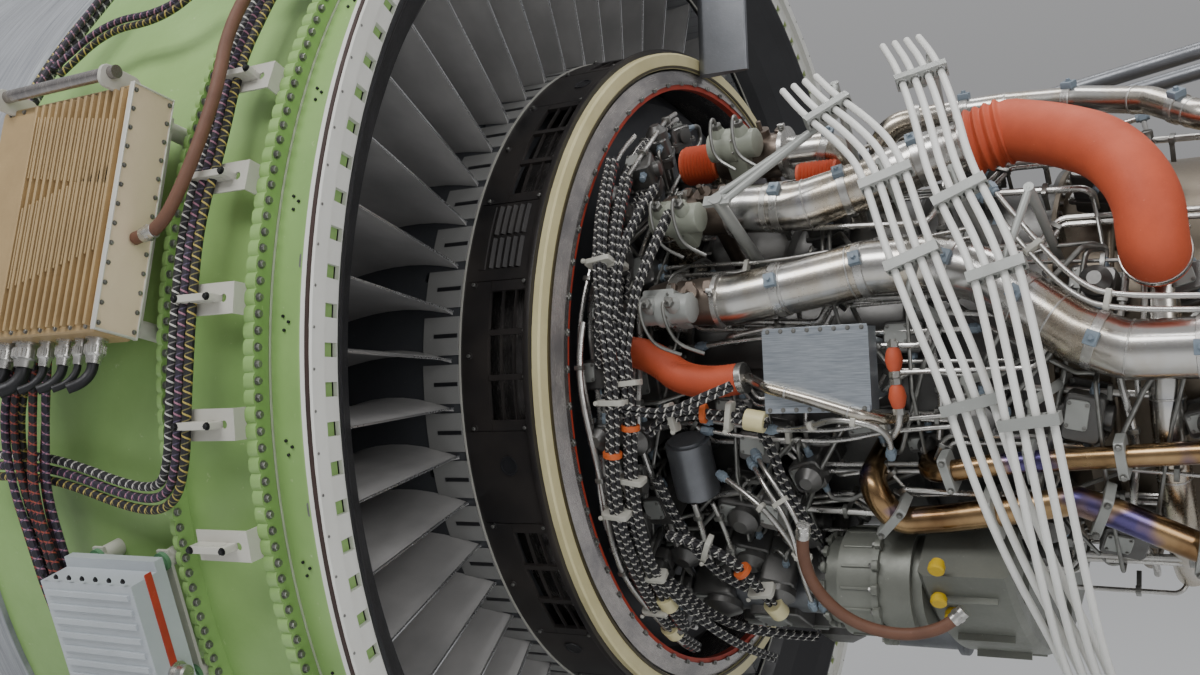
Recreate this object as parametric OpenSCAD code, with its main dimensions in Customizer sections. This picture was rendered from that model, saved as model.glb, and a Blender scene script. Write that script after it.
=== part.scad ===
// Large high-bypass turbofan jet engine, bare of its cowls, with the fan case and the piped core.
// X runs aft along the shafts, Z is up, and the left side of the engine faces -Y.
// The origin is the centre of the fan case's front flange face.
// Clock angles are in degrees up from the horizontal on the left side.

/* [Fan case] */
// Outside radius of the fan case wall
case_r = 1670; // [1640:5:1690]
// Wall of the fan case
case_wall = 24; // [16:1:32]
// Length from the front flange face to the aft face of the white ring
case_len = 2000; // [1960:10:2100]
// How far the case flanges stand out of the case wall
flange_rise = 49; // [40:1:56]
// Thickness of the case flanges
flange_t = 14; // [10:1:18]
// Depth of the scallops between the flange bolts
scallop_depth = 6; // [4:1:8]
// Bolts in the front flange
front_bolts = 36; // [24:1:48]
// Radius of the bolt holes in the front flange
front_hole_r = 9; // [6:0.5:10]
// Length of the green aft section behind the aft case flange
rear_case_len = 194; // [180:2:220]
// Distance from the middle flange to the aft case flange
mid_flange_gap = 266; // [240:2:300]
// Thickness of the containment wrap
wrap_t = 26; // [12:1:36]
// Radial height of the white ring's aft face
ring_face = 38; // [30:1:44]
// Slots in the white ring
ring_slots = 128; // [96:4:144]

/* [Fan] */
// Depth of the duct liner at the fan
liner_t = 86; // [70:2:100]
// Gap between the fan blade tips and the duct
tip_gap = 6; // [4:1:12]
// Radius of the fan disc's rim
hub_r = 500; // [470:5:520]
// Number of fan blades
blade_count = 22; // [18:1:24]
// Chord of a fan blade at its root
root_chord = 430; // [400:5:460]
// Chord of a fan blade at its widest
mid_chord = 590; // [540:5:620]
// Chord of a fan blade at its tip
tip_chord = 500; // [460:5:540]
// Angle between the root chord and the shaft
root_stagger = 16; // [10:1:24]
// Angle between the tip chord and the shaft
tip_stagger = 62; // [56:1:66]
// Length of the spinner
spinner_len = 480; // [420:5:540]

/* [Guide vanes and fan frame] */
// Number of outlet guide vanes
vane_count = 50; // [40:1:54]
// How far the duct narrows from the fan to the vane tips
duct_step = 110; // [90:5:130]
// Outside radius of the fan hub frame at the vane roots
frame_r = 1000; // [985:5:1010]
// Chord of a guide vane along the shaft
vane_chord = 390; // [350:5:410]
// Greatest thickness of a guide vane
vane_t = 20; // [14:1:24]
// Length of the black fairing
fairing_len = 221; // [200:1:230]
// Wall of the black fairing
fairing_t = 8; // [5:1:10]
// How far the silver ring's outer edge lies inside the fan hub frame's radius
silver_step = 57; // [52:1:70]
// Width of the silver ring's sloping face
silver_face = 45; // [38:1:60]

/* [Core] */
// Outside radius of the compressor case
comp_r = 470; // [450:5:480]
// Length of the compressor case
comp_len = 1090; // [1060:5:1120]
// Outside radius of the combustor case
comb_r = 500; // [490:5:510]
// Length of the combustor case
comb_len = 440; // [420:5:460]
// Outside radius of the turbine case at its aft flange
turbine_r = 900; // [870:5:910]
// Length of the turbine case
turbine_len = 1030; // [980:10:1080]
// Length of the turbine rear frame
rear_frame_len = 260; // [240:5:300]
// Length of the exhaust nozzle
nozzle_len = 620; // [560:10:680]
// Radius of the exhaust nozzle's mouth
mouth_r = 700; // [660:5:730]
// Length of the exhaust cone
cone_len = 1040; // [960:10:1120]
// Wall of the core cases
core_wall = 12; // [8:1:16]
// Radius of the low pressure shaft
low_shaft_r = 62; // [50:1:70]

/* [Bleed ducts and valves] */
// Outside radius of the two large bleed ducts
duct_pipe_r = 56; // [48:1:60]
// Height of the bleed ducts' centre lines above the compressor case
duct_rise = 230; // [225:1:240]
// Length of a valve body
valve_len = 130; // [120:1:140]
// Wall of a valve body
valve_wall = 6; // [4:1:8]
// Radius of a valve's shaft
valve_shaft_r = 7; // [5:0.5:9]
// Turn of a valve disc from closed to open
valve_turn = 80; // [60:1:85]
// Outside radius of the orange silicone duct
orange_r = 66; // [60:1:70]
// Convolutions in the orange duct's bellows
bellows_folds = 4; // [3:1:5]

/* [Electrical] */
// Radius of one generator feeder cable
feeder_r = 13; // [11:0.5:14]
// Distance between the centre lines of neighbouring feeder cables
feeder_pitch = 31; // [30:0.5:33]
// Height of the feeder cables' centre lines above the compressor case
feeder_rise = 460; // [455:1:470]
// Length of the control box along the shaft
box_len = 470; // [420:5:500]
// Width of the control box round the case
box_w = 560; // [500:5:600]
// Height of the control box off its feet
box_h = 120; // [100:1:130]
// Height of the shock isolators under the boxes
isolator_h = 34; // [26:1:44]
// Cooling fins on the control box
box_fins = 26; // [16:1:30]
// Length of the ignition box along the shaft
ign_len = 300; // [280:5:330]
// Width of the ignition box round the case
ign_w = 330; // [300:5:360]
// Height of the ignition box
ign_h = 96; // [80:1:110]

/* [Fits] */
// Gap between a seated piece and its seat
seat = 0.3; // [0.2:0.05:0.5]
// Radial running gap of the shafts in their bearings
run_gap = 0.3; // [0.2:0.05:0.6]

/* [Hidden] */

// Facets of the drawn preview; the surfaces themselves are round
big_fn = 96;
pipe_fn = 48;

// Stations along the shaft
aft_flange_x = case_len - rear_case_len;
mid_flange_x = aft_flange_x - mid_flange_gap;
flange_r = case_r + flange_rise;
duct_r = case_r - case_wall - liner_t;
vane_tip_r = duct_r - duct_step;
silver_r = frame_r - silver_step;
silver_in_r = silver_r - silver_face;
ring_r = flange_r + 19;
fan_x = spinner_len - 150;
fan_end = fan_x + root_chord;
vane_x = aft_flange_x - vane_chord - 10;
frame_end = aft_flange_x + 12;
fairing_end = frame_end + fairing_len;
support_end = fairing_end + 21;
silver_end = support_end + 23;
core_x = silver_end + 7;
comb_x = core_x + comp_len;
turb_x = comb_x + comb_len;
rear_frame_x = turb_x + turbine_len;
nozzle_x = rear_frame_x + rear_frame_len;

// Bearing seats
low_stub_r = 100;
low_seat_r = 150;
high_stub_r = 110;
high_seat_r = 134;

// Layers round the core
duct_line_r = comp_r + duct_rise;
feeder_line_r = comp_r + feeder_rise;
box_foot_r = flange_r + 4;

// Direction and vector helpers
function unit(v) = v / norm(v);
function polar(x, r, a) = [x, -r * cos(a), r * sin(a)];
function outward(p) = unit([0, p[1], p[2]]);

// Puts its children at a station, radius and clock angle: local Z points outwards, X aft
module at(x, r, a) translate([x, 0, 0]) rotate([90 - a, 0, 0]) translate([0, 0, r]) children();
// A solid of revolution about the shaft line, from points of station and radius
module turned(outline) rotate([0, 90, 0]) rotate_extrude($fn = big_fn)
    polygon([for (p = outline) [p[1], p[0]]]);
// A plain ring about the shaft line
module ring(x, len, r_in, r_out) turned([[x, r_in], [x + len, r_in], [x + len, r_out], [x, r_out]]);
// A flat plate across the shaft line, drawn in Y and Z
module cross_plate(x, t) translate([x, 0, 0]) rotate([90, 0, 90]) linear_extrude(t) children();
// A solid cylinder along the shaft line's direction at a place in Y and Z
module barrel(x, len, y, z, r) translate([x, y, z]) rotate([0, 90, 0]) cylinder(r = r, h = len, $fn = pipe_fn);
// Everything inside a radius about the shaft line, to trim feet to the case they stand on
module core_space(r) translate([-500, 0, 0]) rotate([0, 90, 0]) cylinder(r = r, h = 8000, $fn = big_fn);

// Places its children with local axes u, v and w at point p
module in_frame(p, u, v, w) multmatrix([[u[0], v[0], w[0], p[0]], [u[1], v[1], w[1], p[1]],
    [u[2], v[2], w[2], p[2]], [0, 0, 0, 1]]) children();
// A round bar between two points
module bar(p, q, r) {
    w = unit(q - p);
    side = abs(w[0]) < 0.8 ? [1, 0, 0] : [0, 1, 0];
    u = unit(cross(side, w));
    in_frame(p, u, cross(w, u), w) cylinder(r = r, h = norm(q - p), $fn = pipe_fn);
}
// The points of a pipe with its corners rounded to a bend radius, as bent on a mandrel
function corner(a, b, c, bend) = let (d1 = unit(b - a), d2 = unit(c - b), turn = acos(min(1, d1 * d2)),
    side = turn < 0.01 ? [0, 0, 0] : unit(d2 - d1 * (d1 * d2)), start = b - d1 * bend * tan(turn / 2), steps = max(1, ceil(turn / 24)))
    [for (k = [0 : steps]) let (t = turn * k / steps)
        start + side * bend * (1 - cos(t)) + d1 * bend * sin(t)];
function bent(p, bend) = len(p) < 3 ? p : [p[0], for (i = [1 : len(p) - 2]) each corner(p[i - 1], p[i], p[i + 1], bend),
    p[len(p) - 1]];
// The points of a route given as station, radius and clock angle
function route(list) = [for (p = list) polar(p[0], p[1], p[2])];

// A smooth path through points, with steps samples to each span
function spline_at(p0, p1, p2, p3, t) = 0.5 * (2 * p1 + (p2 - p0) * t
    + (2 * p0 - 5 * p1 + 4 * p2 - p3) * t * t + (3 * p1 - p0 - 3 * p2 + p3) * t * t * t);
function smooth(p, steps) = let (n = len(p) - 1) [for (i = [0 : n - 1]) for (k = [0 : steps - 1])
    spline_at(p[max(0, i - 1)], p[i], p[i + 1], p[min(n, i + 2)], k / steps), p[n]];
function tangent(p, i) = unit(p[min(len(p) - 1, i + 1)] - p[max(0, i - 1)]);
// A tube swept along points with a section of straight sides; r is one radius or one for each point
module cord(points, r, sides = 6) {
    n = len(points);
    t0 = tangent(points, 0);
    side0 = unit(cross(t0, abs(t0[0]) < 0.8 ? [1, 0, 0] : [0, 1, 0]));
    sides_dir = [for (i = 0, s = side0; i < n; i = i + 1,
        s = let (t = tangent(points, min(i, n - 1))) unit(s - t * (s * t))) s];
    rings = [for (i = [0 : n - 1]) let (t = tangent(points, i), s = sides_dir[i], q = cross(t, s))
        for (k = [0 : sides - 1])
            points[i] + (is_list(r) ? r[i] : r) * (s * cos(360 * k / sides) + q * sin(360 * k / sides))];
    walls = [for (i = [0 : n - 2]) for (k = [0 : sides - 1]) let (m = (k + 1) % sides)
        [i * sides + k, (i + 1) * sides + k, (i + 1) * sides + m, i * sides + m]];
    polyhedron(rings, concat(walls, [[for (k = [0 : sides - 1]) k]],
        [[for (k = [sides - 1 : -1 : 0]) (n - 1) * sides + k]]), convexity = 6);
}

// FAN CASE
module fan_case() color([0.50, 0.68, 0.36]) {
    difference() {
        turned([[0, case_r - case_wall], [aft_flange_x, case_r - case_wall], [aft_flange_x, case_r],
            [30, case_r], [flange_t + 6, flange_r], [0, flange_r]]);
        for (i = [0 : front_bolts - 1]) at(-1, 0, 360 * i / front_bolts)
            translate([0, 0, case_r + flange_rise / 2 + 6]) rotate([0, 90, 0])
                cylinder(r = front_hole_r, h = flange_t + 20, $fn = 24);
    }
    for (x = [mid_flange_x - flange_t, aft_flange_x - flange_t])
        ring(x, flange_t, case_r - 4, flange_r - scallop_depth);
}
module containment_wrap() color([0.55, 0.55, 0.57]) turned([[60, case_r + seat],
    [fan_end + 10, case_r + seat], [fan_end + 10, case_r + wrap_t - 12], [fan_end - 10, case_r + wrap_t],
    [80, case_r + wrap_t], [60, case_r + wrap_t - 12]]);
module duct_liner() color([0.62, 0.63, 0.65]) {
    outer = case_r - case_wall - seat;
    turned([[20, outer], [20, duct_r + 30], [120, duct_r], [fan_end + 160, duct_r],
        [vane_x - 60, vane_tip_r], [aft_flange_x - 20, vane_tip_r], [aft_flange_x - 20, outer]]);
}
module rear_case() color([0.53, 0.71, 0.38]) {
    ring(aft_flange_x, flange_t, case_r - case_wall, flange_r - scallop_depth);
    turned([[aft_flange_x, case_r - case_wall], [case_len - 30, case_r - case_wall],
        [case_len - 30, ring_r - 6], [case_len - 40, ring_r - 6], [case_len - 44, case_r + 22],
        [case_len - 80, case_r], [aft_flange_x, case_r]]);
}
module rear_ring() color([0.93, 0.93, 0.91]) difference() {
    turned([[case_len - 30 + seat, ring_r - ring_face - 60], [case_len - 18, ring_r - ring_face - 60],
        [case_len - 18, ring_r - ring_face], [case_len, ring_r - ring_face], [case_len, ring_r - 3],
        [case_len - 3, ring_r], [case_len - 30 + seat, ring_r]]);
    for (i = [0 : ring_slots - 1]) at(case_len - 24, ring_r - ring_face - 40, (i + 0.5) * 360 / ring_slots)
        cube([60, 30, 36], center = true);
}
module rear_lip() color([0.10, 0.10, 0.11]) {
    top_r = ring_r - ring_face - 60 - seat;
    turned([[aft_flange_x - 19.5, vane_tip_r + 4], [aft_flange_x - 2, vane_tip_r], [aft_flange_x + 40, vane_tip_r + 22],
        [aft_flange_x + 90, vane_tip_r + 62], [case_len - 50, top_r - 46], [case_len - 24, top_r - 22],
        [case_len - 14, top_r - 8], [case_len - 14, top_r], [case_len - 34, top_r],
        [case_len - 60, top_r - 30], [aft_flange_x + 80, vane_tip_r + 90],
        [aft_flange_x + 30, vane_tip_r + 44], [aft_flange_x - 19.5, vane_tip_r + 24]]);
}

// FAN DUCT AND FRAME
module vane() {
    half = vane_t / 2;
    bow = 26;
    // A flat tip stops this much short of the round duct wall, so that its edges clear the wall
    tip_drop = pow(half + bow, 2) / (2 * vane_tip_r);
    translate([vane_x, 0, frame_r + seat]) linear_extrude(vane_tip_r - tip_drop - frame_r - 2 * seat)
        polygon([[0, 0], [vane_chord * 0.06, half * 0.7 + 3], [vane_chord * 0.3, half + bow * 0.75],
            [vane_chord * 0.6, half * 0.8 + bow * 0.8], [vane_chord, 3], [vane_chord, -2],
            [vane_chord * 0.6, -half * 0.8 + bow * 0.8], [vane_chord * 0.3, -half + bow * 0.75],
            [vane_chord * 0.06, 3 - half * 0.7]]);
}
module outlet_guide_vanes() color([0.60, 0.62, 0.64])
    for (i = [0 : vane_count - 1]) rotate([90 - 2 - 360 * i / vane_count, 0, 0]) vane();
module splitter() color([0.58, 0.60, 0.62]) {
    lip_x = fan_end + 200;
    turned([[lip_x, 728], [lip_x + 60, 752], [lip_x + 240, 860], [vane_x - 40, frame_r], [vane_x - 10, frame_r],
        [vane_x - 10, frame_r - 14], [vane_x - 36, frame_r - 14], [lip_x + 244, 844], [lip_x + 70, 742],
        [lip_x + 80, 732], [vane_x - 10, 700], [vane_x - 10, 688], [lip_x + 80, 718], [lip_x + 10, 722]]);
}
module fan_hub_frame() color([0.34, 0.35, 0.36]) {
    front = vane_x - 10 + seat;
    difference() {
        turned([[front, frame_r], [frame_end, frame_r], [frame_end, frame_r - 30], [frame_end - 10, frame_r - 30],
            [frame_end - 20, frame_r - 16], [front, frame_r - 16]]);
        for (i = [0 : 11]) at(frame_end - 120, frame_r - 40, 15 + 30 * i) cylinder(r = 14, h = 60, $fn = 24);
    }
    turned([[frame_end - 10, frame_r - 20], [frame_end, frame_r - 20], [frame_end + 120, frame_r - 140],
        [silver_end - 70, 700], [silver_end - 70, comp_r + 14], [core_x - seat, comp_r + 14],
        [core_x - seat, comp_r - 30], [core_x - 20, comp_r - 30], [1740, 560], [front, 700], [front, 712],
        [1740, 574], [silver_end - 100, comp_r + 16], [silver_end - 82, 690], [frame_end + 100, frame_r - 154],
        [frame_end - 10, frame_r - 34]]);
    turned([[front, 588], [front, 600], [1740, 470], [core_x - seat, 300], [core_x - seat, high_seat_r],
        [core_x - 34, high_seat_r], [core_x - 34, high_seat_r + 12], [core_x - 14, high_seat_r + 12],
        [core_x - 14, 284], [1760, 446], [1610, low_seat_r + 16], [1610, low_seat_r], [1540, low_seat_r],
        [1540, low_seat_r + 12], [1590, low_seat_r + 12], [1738, 456]]);
    intersection() {
        for (i = [0 : 7]) rotate([22.5 + 45 * i, 0, 0]) translate([front + 60, -12, 0]) cube([360, 24, 800]);
        turned([[front, 594], [front, 706], [1740, 567], [2000, 474], [2000, 338], [1740, 463]]);
    }
}
window_panels = [37.4, 2.4, -34, -70, -106, -142, 72, 107, 142, 178];
module hub_fairing() color([0.09, 0.09, 0.10]) difference() {
    ring(frame_end + seat, fairing_len - seat, frame_r - fairing_t, frame_r);
    for (c = window_panels) for (k = [-1 : 1]) for (j = [0 : 2])
        at(frame_end + 92 + 39 * j, frame_r - 40, c + k * 6.6) translate([0, -50, 0]) cube([35, 100, 80]);
    for (c = [54.6, -13.9, -49.1, -88, -124, 90, 124, 160, -160]) at(frame_end + 127, frame_r - 40, c)
        cylinder(r = 32, h = 80, $fn = 32);
}
module cowl_support_ring() color([0.72, 0.70, 0.50]) turned([[fairing_end + seat, frame_r - fairing_t - 4],
    [fairing_end + seat, frame_r - 2], [support_end - 4, frame_r - 2], [support_end, frame_r - 8],
    [support_end, silver_r + 6], [support_end - 6, silver_r + 6], [support_end - 6, frame_r - fairing_t - 4]]);
ring_seat_x = frame_end + frame_r - 20 - (silver_r - 16) + 2 * seat;
module frame_ring() color([0.66, 0.67, 0.69]) turned([[ring_seat_x, silver_r - 4], [support_end, silver_r],
    [silver_end - 4, silver_in_r + 12], [silver_end, silver_in_r], [silver_end - 30, silver_in_r],
    [support_end - 20, silver_r - 14], [ring_seat_x, silver_r - 16]]);
module fire_seal() color([0.72, 0.18, 0.10]) ring(silver_end - 26, 22, silver_in_r - 14, silver_in_r - seat);
module strut_section() hull() {
    circle(strut_nose, $fn = 32);
    translate([strut_chord, 0]) circle(10, $fn = 32);
}
strut_nose = 26;
strut_chord = 130;
module top_strut() color([0.63, 0.64, 0.65])
    translate([support_end + seat + strut_nose, 0, silver_r + seat])
        linear_extrude(vane_tip_r - 70 - silver_r) strut_section();
module foot(x, a, r_foot, r_case, r_top) difference() {
    at(x, 0, a) cylinder(r = r_foot, h = r_top, $fn = pipe_fn);
    core_space(r_case + seat);
}
mount_x = core_x + 200;
mount_top = 644;
link_y = 110;
link_end_z = turbine_r + 62;
module forward_mount() color([0.45, 0.46, 0.48]) difference() {
    union() {
        translate([mount_x, -150, 0]) cube([130, 300, mount_top - 10]);
        translate([mount_x - 20, -190, mount_top - 44]) cube([170, 380, 44]);
    }
    core_space(comp_r + seat);
    translate([mount_x - 50, -90, 510]) cube([300, 180, 50]);
    for (x = [mount_x + 15, mount_x + 115]) for (y = [-165, 165])
        translate([x, y, mount_top - 80]) cylinder(r = 14, h = 120, $fn = 32);
}
module aft_mount() color([0.45, 0.46, 0.48]) difference() {
    for (y = [-link_y - 25, link_y - 25]) {
        hull() {
            translate([rear_frame_x + 60, y, turbine_r - 60]) cube([140, 50, 60]);
            translate([rear_frame_x + 130, y, turbine_r + 110]) rotate([-90, 0, 0]) cylinder(r = 46, h = 50, $fn = 32);
        }
        translate([rear_frame_x + 30, y, link_end_z - 30]) cube([90, 50, 60]);
    }
    core_space(turbine_r + seat);
    translate([rear_frame_x + 130, -200, turbine_r + 110]) rotate([-90, 0, 0]) cylinder(r = 24, h = 400, $fn = 32);
}
module thrust_links() color([0.55, 0.56, 0.58]) for (y = [-link_y, link_y])
    bar([mount_x + 134.5, y, 570], [rear_frame_x + 25.6, y, link_end_z], 22);

// CORE CASES
module flange(x, r, t = 12) ring(x, t, r - core_wall, r + 36);
vane_ring_r = comp_r + 60;
module compressor_case() color([0.58, 0.59, 0.60]) {
    turned([[core_x, comp_r + 36], [core_x + 14, comp_r + 36], [core_x + 14, comp_r], [comb_x - 12, comp_r],
        [comb_x - 12, comp_r + 36], [comb_x, comp_r + 36], [comb_x, comp_r - core_wall - 30],
        [core_x, comp_r - core_wall]]);
    for (k = [0.36, 0.68]) flange(core_x + comp_len * k, comp_r, 10);
    for (a = [0, 180]) at(core_x + 7, comp_r - 4, a) translate([0, -9, 0]) cube([comp_len - 14, 18, 30]);
    for (k = [0 : 2]) {
        x = core_x + 40 + 55 * k;
        ring(x, 14, vane_ring_r - 14, vane_ring_r);
        for (i = [0 : 23]) difference() {
            at(x + 7, 0, 7.5 + 15 * i) cylinder(r = 5, h = vane_ring_r - 8, $fn = 24);
            core_space(comp_r + seat);
        }
    }
}
module combustor_case() color([0.52, 0.50, 0.47]) {
    turned([[comb_x + seat, comp_r + 36], [comb_x + 12, comp_r + 36], [comb_x + 14, comp_r + 4],
        [comb_x + 70, comb_r], [turb_x - 12, comb_r], [turb_x - 12, comb_r + 36], [turb_x - seat, comb_r + 36],
        [turb_x - seat, comb_r - core_wall], [comb_x + 76, comb_r - core_wall], [comb_x + seat, comp_r - 40]]);
    for (i = [0 : 23]) at(comb_x + 150, comb_r - 6, 15 * i) {
        cylinder(r = 17, h = 22, $fn = 24);
        cylinder(r = 8, h = 60, $fn = 24);
    }
    translate([comb_x + 150, 0, 0]) rotate([0, 90, 0]) rotate_extrude($fn = big_fn)
        translate([comb_r + 56, 0]) circle(9, $fn = 24);
}
liner_r = comb_r - core_wall - 20;
module combustor_liner() color([0.55, 0.47, 0.38]) {
    for (i = [0 : 5]) at(comb_x + 200, liner_r - 6, 30 + 60 * i) cylinder(r = 8, h = 26 - seat, $fn = 32);
    turned([[comb_x + 110, 330], [comb_x + 80, 380],
    [comb_x + 110, liner_r], [turb_x - 40, liner_r], [turb_x + 30, 450],
    [turb_x + 30, 440], [turb_x - 44, liner_r - 10], [comb_x + 116, liner_r - 10],
    [comb_x + 92, 380], [comb_x + 116, 342], [turb_x + 30, 362], [turb_x + 30, 350]]);
}
hot_r = comb_r + 20;
function turbine_wall_r(x) = hot_r + (turbine_r - hot_r) * (x - (turb_x + 240)) / (turbine_len - 240);
cooling_tube_r = 10;
module turbine_case() color([0.53, 0.50, 0.46]) {
    turned([[turb_x, comb_r + 36], [turb_x + 12, comb_r + 36], [turb_x + 14, hot_r], [turb_x + 240, hot_r],
        [rear_frame_x - 12, turbine_r - 6], [rear_frame_x - 12, turbine_r + 30], [rear_frame_x, turbine_r + 30],
        [rear_frame_x, turbine_r - 18], [turb_x + 246, hot_r - 14], [turb_x, hot_r - 20]]);
    slope = atan2(turbine_r - hot_r, turbine_len - 240);
    for (k = [1 : 6]) let (x = turb_x + 240 + (turbine_len - 300) * k / 7) translate([x, 0, 0])
        rotate([0, 90, 0]) rotate_extrude($fn = big_fn)
            translate([turbine_wall_r(x) + (cooling_tube_r + seat) / cos(slope), 0])
                circle(cooling_tube_r, $fn = 24);
    turned([[turb_x + 200, 150], [turb_x + 200, 164], [turb_x + 270, 330], [turb_x + 282, 330], [turb_x + 250, 164],
        [turb_x + 250, 150]]);
    intersection() {
        for (i = [0 : 7]) rotate([45 * i, 0, 0]) translate([turb_x + 268, -10, 0]) cube([50, 20, 700]);
        turned([[turb_x + 260, 322], [turb_x + 260, hot_r - 2], [turb_x + 320, hot_r + 24], [turb_x + 320, 322]]);
    }
}
module turbine_rear_frame() color([0.50, 0.46, 0.41]) {
    turned([[rear_frame_x + seat, turbine_r - 16], [rear_frame_x + seat, turbine_r + 30],
        [rear_frame_x + 12, turbine_r + 30], [rear_frame_x + 14, turbine_r], [nozzle_x - 14, turbine_r],
        [nozzle_x - 12, turbine_r + 30], [nozzle_x, turbine_r + 30], [nozzle_x, turbine_r - 16]]);
    turned([[rear_frame_x + 20, 500], [rear_frame_x + 20, 516], [nozzle_x, 516], [nozzle_x, 440], [nozzle_x - 12, 440],
        [nozzle_x - 12, 502], [rear_frame_x + 150, 500], [rear_frame_x + 130, 112], [rear_frame_x + 60, 112],
        [rear_frame_x + 60, 124], [rear_frame_x + 116, 124], [rear_frame_x + 134, 500]]);
    intersection() {
        for (i = [0 : 11]) rotate([15 + 30 * i, 0, 0]) translate([rear_frame_x + 50, -9, 0]) cube([180, 18, 960]);
        turned([[rear_frame_x + 30, 510], [rear_frame_x + 30, turbine_r - 8], [nozzle_x - 10, turbine_r - 8],
            [nozzle_x - 10, 510]]);
    }
}
module exhaust_nozzle() color([0.58, 0.54, 0.49]) turned([[nozzle_x + seat, turbine_r + 30],
    [nozzle_x + 12, turbine_r + 30], [nozzle_x + 14, turbine_r - 8], [nozzle_x + nozzle_len * 0.5, turbine_r - 80],
    [nozzle_x + nozzle_len, mouth_r], [nozzle_x + nozzle_len, mouth_r - 8],
    [nozzle_x + nozzle_len * 0.5, turbine_r - 92], [nozzle_x + seat, turbine_r - 20]]);
module exhaust_cone() color([0.50, 0.46, 0.42]) turned([[nozzle_x + seat, 430], [nozzle_x + seat, 516],
    [nozzle_x + cone_len * 0.25, 470], [nozzle_x + cone_len * 0.5, 350], [nozzle_x + cone_len * 0.8, 150],
    [nozzle_x + cone_len, 40], [nozzle_x + cone_len, 0], [nozzle_x + cone_len - 10, 0],
    [nozzle_x + cone_len * 0.8 - 4, 138], [nozzle_x + cone_len * 0.5 - 4, 338],
    [nozzle_x + cone_len * 0.25 - 2, 458], [nozzle_x + 30, 430]]);
module main_bearings() color([0.75, 0.75, 0.77]) {
    ring(1545, 50, low_stub_r + run_gap, low_seat_r - seat);
    ring(core_x - 30, 26, high_stub_r + run_gap, high_seat_r - seat);
    ring(turb_x + 205, 40, high_stub_r + run_gap, 150 - seat);
    ring(rear_frame_x + 70, 50, low_shaft_r + run_gap, 112 - seat);
}

// ACCESSORIES UNDER THE CORE
module arc_block(x, len, r_in, r_out, a_low, a_high, round) rotate([-90 - a_high, 0, 0]) rotate([0, 90, 0])
    rotate_extrude(angle = a_high - a_low, $fn = big_fn)
        polygon([[r_in, x + round], [r_in + round, x], [r_out - round, x], [r_out, x + round],
            [r_out, x + len - round], [r_out - round, x + len], [r_in + round, x + len], [r_in, x + len - round]]);
gearbox_x = core_x + 780;
gearbox_len = 220;
pad_line_r = comp_r + 250;
module accessory_gearbox() color([0.60, 0.61, 0.60]) {
    difference() {
        arc_block(gearbox_x, gearbox_len, comp_r + 160, comp_r + 330, -140, -41, 14);
        for (a = [-52, -75, -98, -121]) at(gearbox_x + gearbox_len - 20, pad_line_r, a) rotate([0, 90, 0])
            cylinder(r = 40, h = 40, $fn = pipe_fn);
    }
    for (a = [-50, -88, -128]) foot(gearbox_x + 110, a, 24, comp_r, comp_r + 180);
    for (k = [0 : 6]) at(gearbox_x + 40, comp_r + 326, -47 - 14 * k) cube([140, 8, 22], center = false);
}
module generator() color([0.62, 0.63, 0.62]) {
    y = -pad_line_r * cos(-52) ;
    z = pad_line_r * sin(-52) ;
    barrel(gearbox_x - 26 - seat, 26, y, z, 118);
    barrel(gearbox_x - 210, 185, y, z, 138);
    barrel(gearbox_x - 250, 40, y, z, 112);
    barrel(gearbox_x - 120, 16, y, z, 148);
}
module gearbox_accessories() color([0.55, 0.56, 0.56]) {
    for (p = [[-80, 84, 190], [-104, 70, 150], [-127, 88, 210]])
        at(gearbox_x - seat, pad_line_r, p[0]) rotate([0, -90, 0]) {
            cylinder(r = p[1] + 14, h = 16, $fn = pipe_fn);
            cylinder(r = p[1], h = p[2], $fn = pipe_fn);
            cylinder(r = p[1] * 0.6, h = p[2] + 40, $fn = pipe_fn);
        }
    at(2285, 665, -23.5) rotate([90, 0, 0]) {
        cylinder(r = 60, h = 150, center = true, $fn = pipe_fn);
        cylinder(r = 50, h = 166, center = true, $fn = pipe_fn);
    }
    foot(2285, -23.5, 16, comp_r, 660);
    barrel(2300, 250, -690 * cos(-62), 690 * sin(-62), 72);
    barrel(2270, 310, -690 * cos(-62), 690 * sin(-62), 46);
    foot(2360, -62, 16, comp_r, 680);
    foot(2520, -62, 16, comp_r, 680);
}
module oil_tank() color([0.66, 0.67, 0.68]) {
    arc_block(900, 560, case_r + seat, case_r + 165, 186, 212, 30);
    for (x = [1010, 1320]) arc_block(x, 40, case_r + 150, case_r + 172, 184, 214, 2);
    at(1180, case_r + 150, 211) rotate([-70, 0, 0]) cylinder(r = 34, h = 110, $fn = pipe_fn);
}

// BOXES ON THE FAN CASE
box_a = 11.5;
box_x = mid_flange_x - box_len;
box_z = box_foot_r + isolator_h + 2 * seat;
ign_a = -18.2;
ign_x = mid_flange_x - ign_len;
ign_z = box_foot_r + isolator_h + 2 * seat;
module box_posts(x0, len, width) for (dx = [0.14, 0.86]) for (dy = [-0.42, 0.42])
    translate([x0 + len * dx, width * dy, 0]) children();
module control_box() color([0.72, 0.62, 0.42]) rotate([90 - box_a, 0, 0]) translate([box_x, 0, box_z]) difference() {
    translate([0, -box_w / 2, 0]) cube([box_len - 12, box_w, box_h]);
    for (i = [0 : box_fins - 1])
        translate([box_len * 0.3 + i * box_len * 0.67 / box_fins, -box_w / 2 + 8, box_h - 14])
            cube([box_len * 0.36 / box_fins, box_w - 16, 30]);
    translate([box_len * 0.02, -box_w / 2 + 20, box_h - 3]) cube([box_len * 0.25, box_w - 40, 10]);
}
module control_box_cover() color([0.84, 0.78, 0.64]) rotate([90 - box_a, 0, 0]) translate([box_x, 0, box_z])
    difference() {
        translate([box_len - 12 + seat, -box_w / 2 - 4, -4]) cube([16, box_w + 8, box_h + 8]);
        translate([box_len - 8, -box_w / 2 + 14, 12]) cube([30, box_w - 28, box_h - 24]);
    }
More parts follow.
